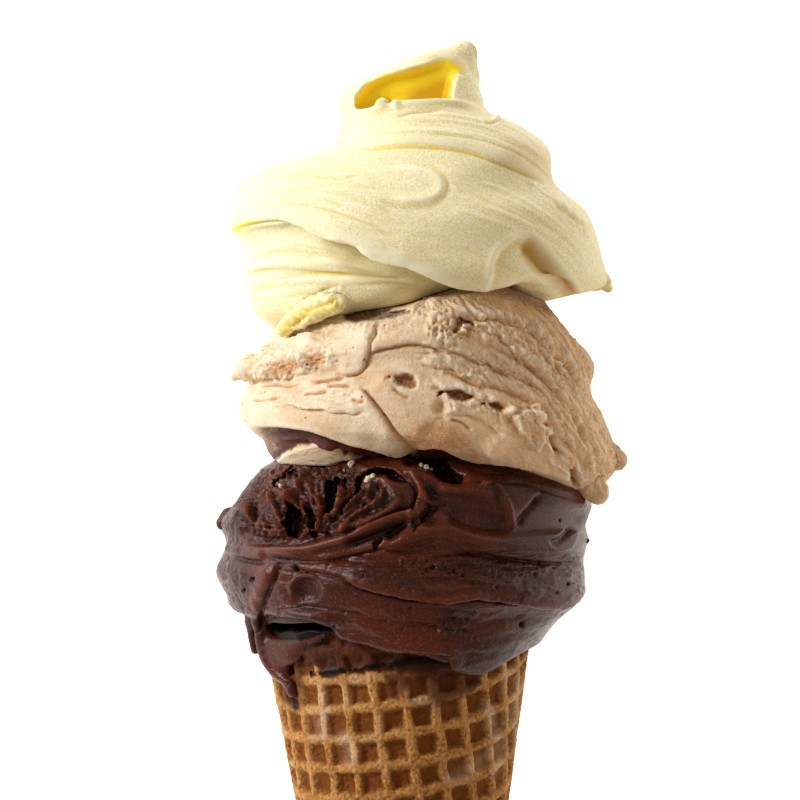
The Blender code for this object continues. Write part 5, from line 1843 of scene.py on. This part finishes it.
def make_cone():
    """The rolled waffle cone, with the chocolate that ran over its top, painted shadow under the chocolate's
    lip, and flour on its ridges.
    """
    material = waffle_material()
    mesh = made_by(*waffle_cone_tree(material), "waffle_cone")
    close_cone(mesh)
    cone = Sculpt(mesh, WAFFLE_FLOW)
    sunk = np.empty(len(mesh.vertices), np.float32)
    mesh.attributes["pocket"].data.foreach_get("value", sunk)
    mesh.attributes.remove(mesh.attributes["pocket"])
    cone.masks["pocket"] = sunk.astype(float)
    cone.paint_patch("chocolate_and_painted_shadow", WAFFLE_FILM, edge=8, strength=1.0, ragged=4.0)
    cone.masks["chocolate_and_painted_shadow"] *= 0.62 + 0.3 * layered_noise(cone.points / 2.6, 34, 4)
    # The darkest chocolate, painted also as shadow under the chocolate's lip
    for patch in WAFFLE_DARK_CHOCOLATE_AND_SHADOW:
        cone.paint_patch("chocolate_and_painted_shadow", patch, edge=4, strength=1.0, ragged=2.0)
    for patch in WAFFLE_STAINS:
        cone.paint_patch("chocolate_and_painted_shadow", patch, edge=12, strength=0.45, ragged=5.0)
    cone.paint("chocolate_and_painted_shadow", WAFFLE_DRIP, width=5.5, strength=1.2)
    cone.paint("chocolate_and_painted_shadow", WAFFLE_DRIP_WIDE, width=6, strength=1.0)
    cone.paint("chocolate_and_painted_shadow", WAFFLE_SPECK, width=3.5, strength=1.2)
    back = np.clip((cone.along - 141 - 2.5 * layered_noise(cone.points / 7, 31, 3)) / 2, 0, 1)
    chocolate_and_painted_shadow = np.clip(np.maximum(cone.mask("chocolate_and_painted_shadow"), back * np.clip(0.5 - cone.deep / 10, 0, 1)), 0, 1)
    cone.masks["chocolate_and_painted_shadow"] = chocolate_and_painted_shadow
    flour = np.clip(layered_noise(cone.points / 9.0, 33, 3) * 1.6 - 0.35, 0, 0.6)
    cone.masks["flour"] = flour * (1 - cone.masks["pocket"])
    for path in PALE_RIDGES:
        cone.paint("flour", path, width=6, strength=0.6)
    cone.masks["flour"] *= 1 - 0.5 * cone.masks["pocket"]
    filled = np.clip(chocolate_and_painted_shadow - 0.5, 0, 0.5) * 2
    cone.height += filled * (0.3 + cone.masks["pocket"] * WAFFLE_DEPTH)
    cone.apply()
    for patch in WAFFLE_DARK_CHOCOLATE_AND_SHADOW:
        cone.relax(patch, edge=6, rounds=12)
    cone.finish()
    return piece("rolled_waffle_cone", mesh, "waffle_cone", material)


def make_lemon():
    """The lemon gelato, with the curl at its top and the torn flake at its foot."""
    mesh = layer_mesh("lemon", LEMON_STATIONS, LEMON_TOP, LEMON_FOOT, (0, 0), LEMON_MESH)
    lemon = Sculpt(joined(mesh, LEMON_LIMBS), LEMON_FLOW)
    lemon.relax(PEAK, edge=12, rounds=10)
    lemon.draw(LEMON_FORMS, LEMON_LINES, LEMON_CRAGS, {}, {})
    ramp = np.clip((lemon.within(CURL_SCOOP) + 1) / CURL_RAMP, 0, 1)
    front = np.clip(0.5 + lemon.within(CURL_HOLLOW) / 3, 0, 1)
    scoop = ramp * ramp * (3 - 2 * ramp) * front
    lemon.sunk = np.minimum(0, CURL_FLOOR - lemon.deep) * scoop
    # Painted light: the curl's hollow is painted a glowing deep yellow where it lies in shade
    lemon.masks["pocket"] = np.clip(scoop * 1.6 - 0.2, 0, 1)
    # Painted shade in the dimple's wedge and on the neck's right
    for strength, edge, patch in AMBER_SHADES:
        lemon.paint_patch("painted_amber_shade", patch, edge, strength, ragged=0.6)
    # Painted shade at the lower right of the curl's hollow
    lemon.paint_patch("painted_ochre_shade", OCHRE_SHADE, edge=16, strength=0.9)
    lemon.masks["painted_ochre_shade"] *= lemon.masks["pocket"]
    # Painted shade on the lower band under the collar's lip
    lemon.paint_patch("painted_band_shade", BAND_SHADE, edge=14, strength=0.6, ragged=0.6)
    # The same glowing yellow as painted shade under the lip's left end and in the neck's crease, and along
    # the flake's edge
    lemon.paint("pocket", LIP_SHADE, width=3.0, strength=1.2)
    lemon.paint("pocket", FLAKE_YELLOW, width=7, strength=0.5)
    lemon.paint("pocket", NECK_CREASE_SHADE, width=1.6, strength=0.35)
    lemon.wind_back(spacing=11.0, turns=1.0, height=1.5, ragged=0.1)
    lemon.apply()
    lemon.streaks(coarse=16, fine=0.9, height=0.1, seed=3, octaves=2)
    lemon.grain(size=2.4, height=0.07, seed=4)
    lemon.finish()
    return piece("lemon_gelato_swirl", lemon.mesh, "lemon_gelato", lemon_gelato_material())


def make_hazelnut():
    """The hazelnut gelato, torn and ridged, with chocolate smeared along its foot, and painted shade in its
    hollows.
    """
    top = np.add(LEMON_FOOT, (0, -GAP, 0))
    mesh = layer_mesh("hazelnut", HAZELNUT_STATIONS, top, HAZELNUT_FOOT, (GAP, 0), HAZELNUT_MESH)
    hazelnut = Sculpt(joined(mesh, HAZELNUT_LIMBS), HAZELNUT_FLOW)
    hazelnut.draw(HAZELNUT_FORMS, HAZELNUT_LINES, HAZELNUT_CRAGS, HAZELNUT_HOLES, HAZELNUT_SHREDS)
    # The cracks are grooved and painted a warm brown, as painted shade
    for path in HAZELNUT_CRACKS:
        hazelnut.ridge(path, width=1.3, height=-0.6, ragged=1.2)
        hazelnut.paint("warmth_and_painted_shade", path, width=1.8, strength=0.8)
    # Painted shade: tan deepening towards the right side, away from the light
    hazelnut.masks["tan"] = np.clip((hazelnut.x - 370) / 150, 0, 1)
    # Smeared chocolate; at its right end it also darkens the shaded gap over the chocolate, as painted shadow
    hazelnut.paint_patch("chocolate_and_painted_shadow", SMEAR, edge=3, strength=1.0, ragged=2.5)
    hazelnut.paint_patch("mauve_stain_and_painted_shade", STAINED_WAIST, edge=12, strength=1.0, ragged=4.0)
    # Painted shade in the holes
    for _, path in HAZELNUT_HOLES.values():
        hazelnut.paint_patch("painted_recess_shade", path, edge=4, strength=0.6, ragged=2.6, seed=61)
    # Painted shade under the lemon's overhang
    hazelnut.paint_patch("mauve_stain_and_painted_shade", SHADED_TOP, edge=8, strength=0.7, ragged=3.0)
    # Painted shade in the crevice under the lemon
    hazelnut.paint_patch("painted_recess_shade", SHADED_CREVICE, edge=8, strength=0.85, ragged=2.5)
    # Painted shade, warm brown, at the foot, along the crease, crack and hole and in the hollows; a weak warm
    # tint on the middle lobe
    hazelnut.paint_patch("warmth_and_painted_shade", WARM_SHADE_AT_FOOT, edge=14, strength=0.7, ragged=4.0)
    hazelnut.paint_patch("warmth_and_painted_shade", MIDDLE_LOBE_WARMTH, edge=14, strength=0.3, ragged=4.0)
    for path in WARM_SHADE_LINES:
        hazelnut.paint("warmth_and_painted_shade", path, width=4.0, strength=0.7)
    for edge, strength, patch in WARM_SHADE_IN_HOLLOWS:
        hazelnut.paint_patch("warmth_and_painted_shade", patch, edge, strength, ragged=2.5)
    hazelnut.wind_back(spacing=10.0, turns=1.0, height=1.6, ragged=0.5)
    hazelnut.apply()
    hazelnut.streaks(coarse=8, fine=0.8, height=0.1, seed=13)
    hazelnut.grain(size=0.7, height=0.06, seed=14, octaves=2)
    hazelnut.finish()
    material = hazelnut_gelato_material()
    piece("hazelnut_gelato_swirl", hazelnut.mesh, "hazelnut_gelato", material)
    return material


def make_chocolate():
    """The chocolate gelato, broken open at its upper left, with drips over the cone's rim."""
    top = np.add(HAZELNUT_FOOT, (0, -GAP, 0))
    mesh = layer_mesh("chocolate", CHOCOLATE_STATIONS, top, CHOCOLATE_FOOT, (GAP, 0), CHOCOLATE_MESH)
    chocolate = Sculpt(joined(mesh, CHOCOLATE_LIMBS), CHOCOLATE_FLOW)
    chocolate.relax(DRIP_WEB, edge=8, rounds=60)
    chocolate.draw(CHOCOLATE_FORMS, CHOCOLATE_LINES, CHOCOLATE_CRAGS, CHOCOLATE_HOLES, CHOCOLATE_SHREDS)
    chocolate.bed(TORN, height=-1.6, edge=8)
    which, signed, fade, _ = chocolate.stroke(LIFTED_LIP, 20)
    chocolate.slide[which, 1] -= 1.3 * fade * np.exp(-((signed / 9) ** 2)) * chocolate.front[which]
    for x, y, radius in PORES:
        chocolate.bump([(x, y)], radius, height=-1.4)
    chocolate.scatter_pores(SCATTERED_PORES, count=18, radius=1.2, depth=0.6, seed=61)
    chocolate.scatter_pores(LOWER_PORES, count=30, radius=1.4, depth=0.5, seed=62)
    chocolate.paint_patch("torn", TORN, edge=10, strength=1.0, ragged=4.0)
    # Painted shade under the rim and in the pits and holes
    chocolate.paint("painted_recess_shade", RIM_SHADE, width=3.5, strength=0.8)
    for _, path in CHOCOLATE_HOLES.values():
        chocolate.paint_patch("painted_recess_shade", path, edge=4, strength=0.85, ragged=2.6, seed=61)
    chocolate.wind_back(spacing=11.0, turns=1.0, height=1.5, ragged=0.15)
    chocolate.apply()
    chocolate.streaks(coarse=12, fine=0.9, height=0.11, seed=23)
    chocolate.grain(size=1.4, height=0.05, seed=24)
    chocolate.finish()
    material = chocolate_gelato_material()
    piece("chocolate_gelato_swirl", chocolate.mesh, "chocolate_gelato", material)
    return chocolate


def make_floor():
    """A plain pale floor for the object to lie on."""
    bm = bmesh.new()
    bmesh.ops.create_grid(bm, x_segments=1, y_segments=1, size=FLOOR_HALF)
    mesh = bpy.data.meshes.new("floor")
    bm.to_mesh(mesh)
    bm.free()
    floor = bpy.data.objects.new("floor", mesh)
    bpy.context.scene.collection.objects.link(floor)
    finish = {"Base Color": hex_colour("#FFFFFF"), "Roughness": 0.9, "Emission Strength": FLOOR_GLOW}
    material, _, shader = principled("pale_floor", finish)
    shader.inputs["Emission Color"].default_value = hex_colour("#FFFFFF")
    mesh.materials.append(material)


def add_light(name, spot, aim, size, power, colour):
    """A soft square light that points at its aim."""
    light = bpy.data.lights.new(name, "AREA")
    light.size = size
    light.energy = power
    light.color = hex_colour(colour)[:3]
    lamp = bpy.data.objects.new(name, light)
    lamp.location = spot
    lamp.rotation_euler = (Vector(aim) - Vector(spot)).to_track_quat("-Z", "Y").to_euler()
    bpy.context.scene.collection.objects.link(lamp)


def make_light():
    """A soft, low light from the left of the picture, and a warm room that is paler towards its walls."""
    add_light("window", WINDOW_SPOT, WINDOW_AIM, WINDOW_SIZE, WINDOW_POWER, "#F1F6FF")
    world = bpy.data.worlds.new("studio")
    world.use_nodes = True
    tree = world.node_tree
    way = add(tree, "ShaderNodeSeparateXYZ", {0: add(tree, "ShaderNodeTexCoord").outputs["Generated"]})
    fall = {0: way.outputs[2], 1: 0.0, 2: 1.0, 3: ROOM_AT_HORIZON, 4: ROOM_OVERHEAD}
    strength = add(tree, "ShaderNodeMapRange", fall)
    background = tree.nodes["Background"]
    background.inputs["Color"].default_value = hex_colour("#FFF1E2")
    tree.links.new(strength.outputs[0], background.inputs["Strength"])
    bpy.context.scene.world = world
    bpy.context.scene.view_settings.view_transform = "Standard"


def make_camera():
    """Straight down on the lying object, as the photograph sees it standing."""
    data = bpy.data.cameras.new("camera")
    data.sensor_width = 36.0
    data.lens = data.sensor_width * CAMERA_DISTANCE / (PICTURE * PIXEL * MM)
    data.clip_end = 10.0
    camera = bpy.data.objects.new("camera", data)
    middle = (TIP_PIXEL - PICTURE / 2) * PIXEL - CENTRE_ALONG
    camera.location = (-CENTRE_ACROSS * MM, middle * MM, AXIS_HEIGHT * MM + CAMERA_DISTANCE)
    bpy.context.scene.collection.objects.link(camera)
    bpy.context.scene.camera = camera


make_camera()
make_light()
make_floor()
make_cone()
make_lemon()
nutty = make_hazelnut()
make_crumbs(make_chocolate(), nutty)
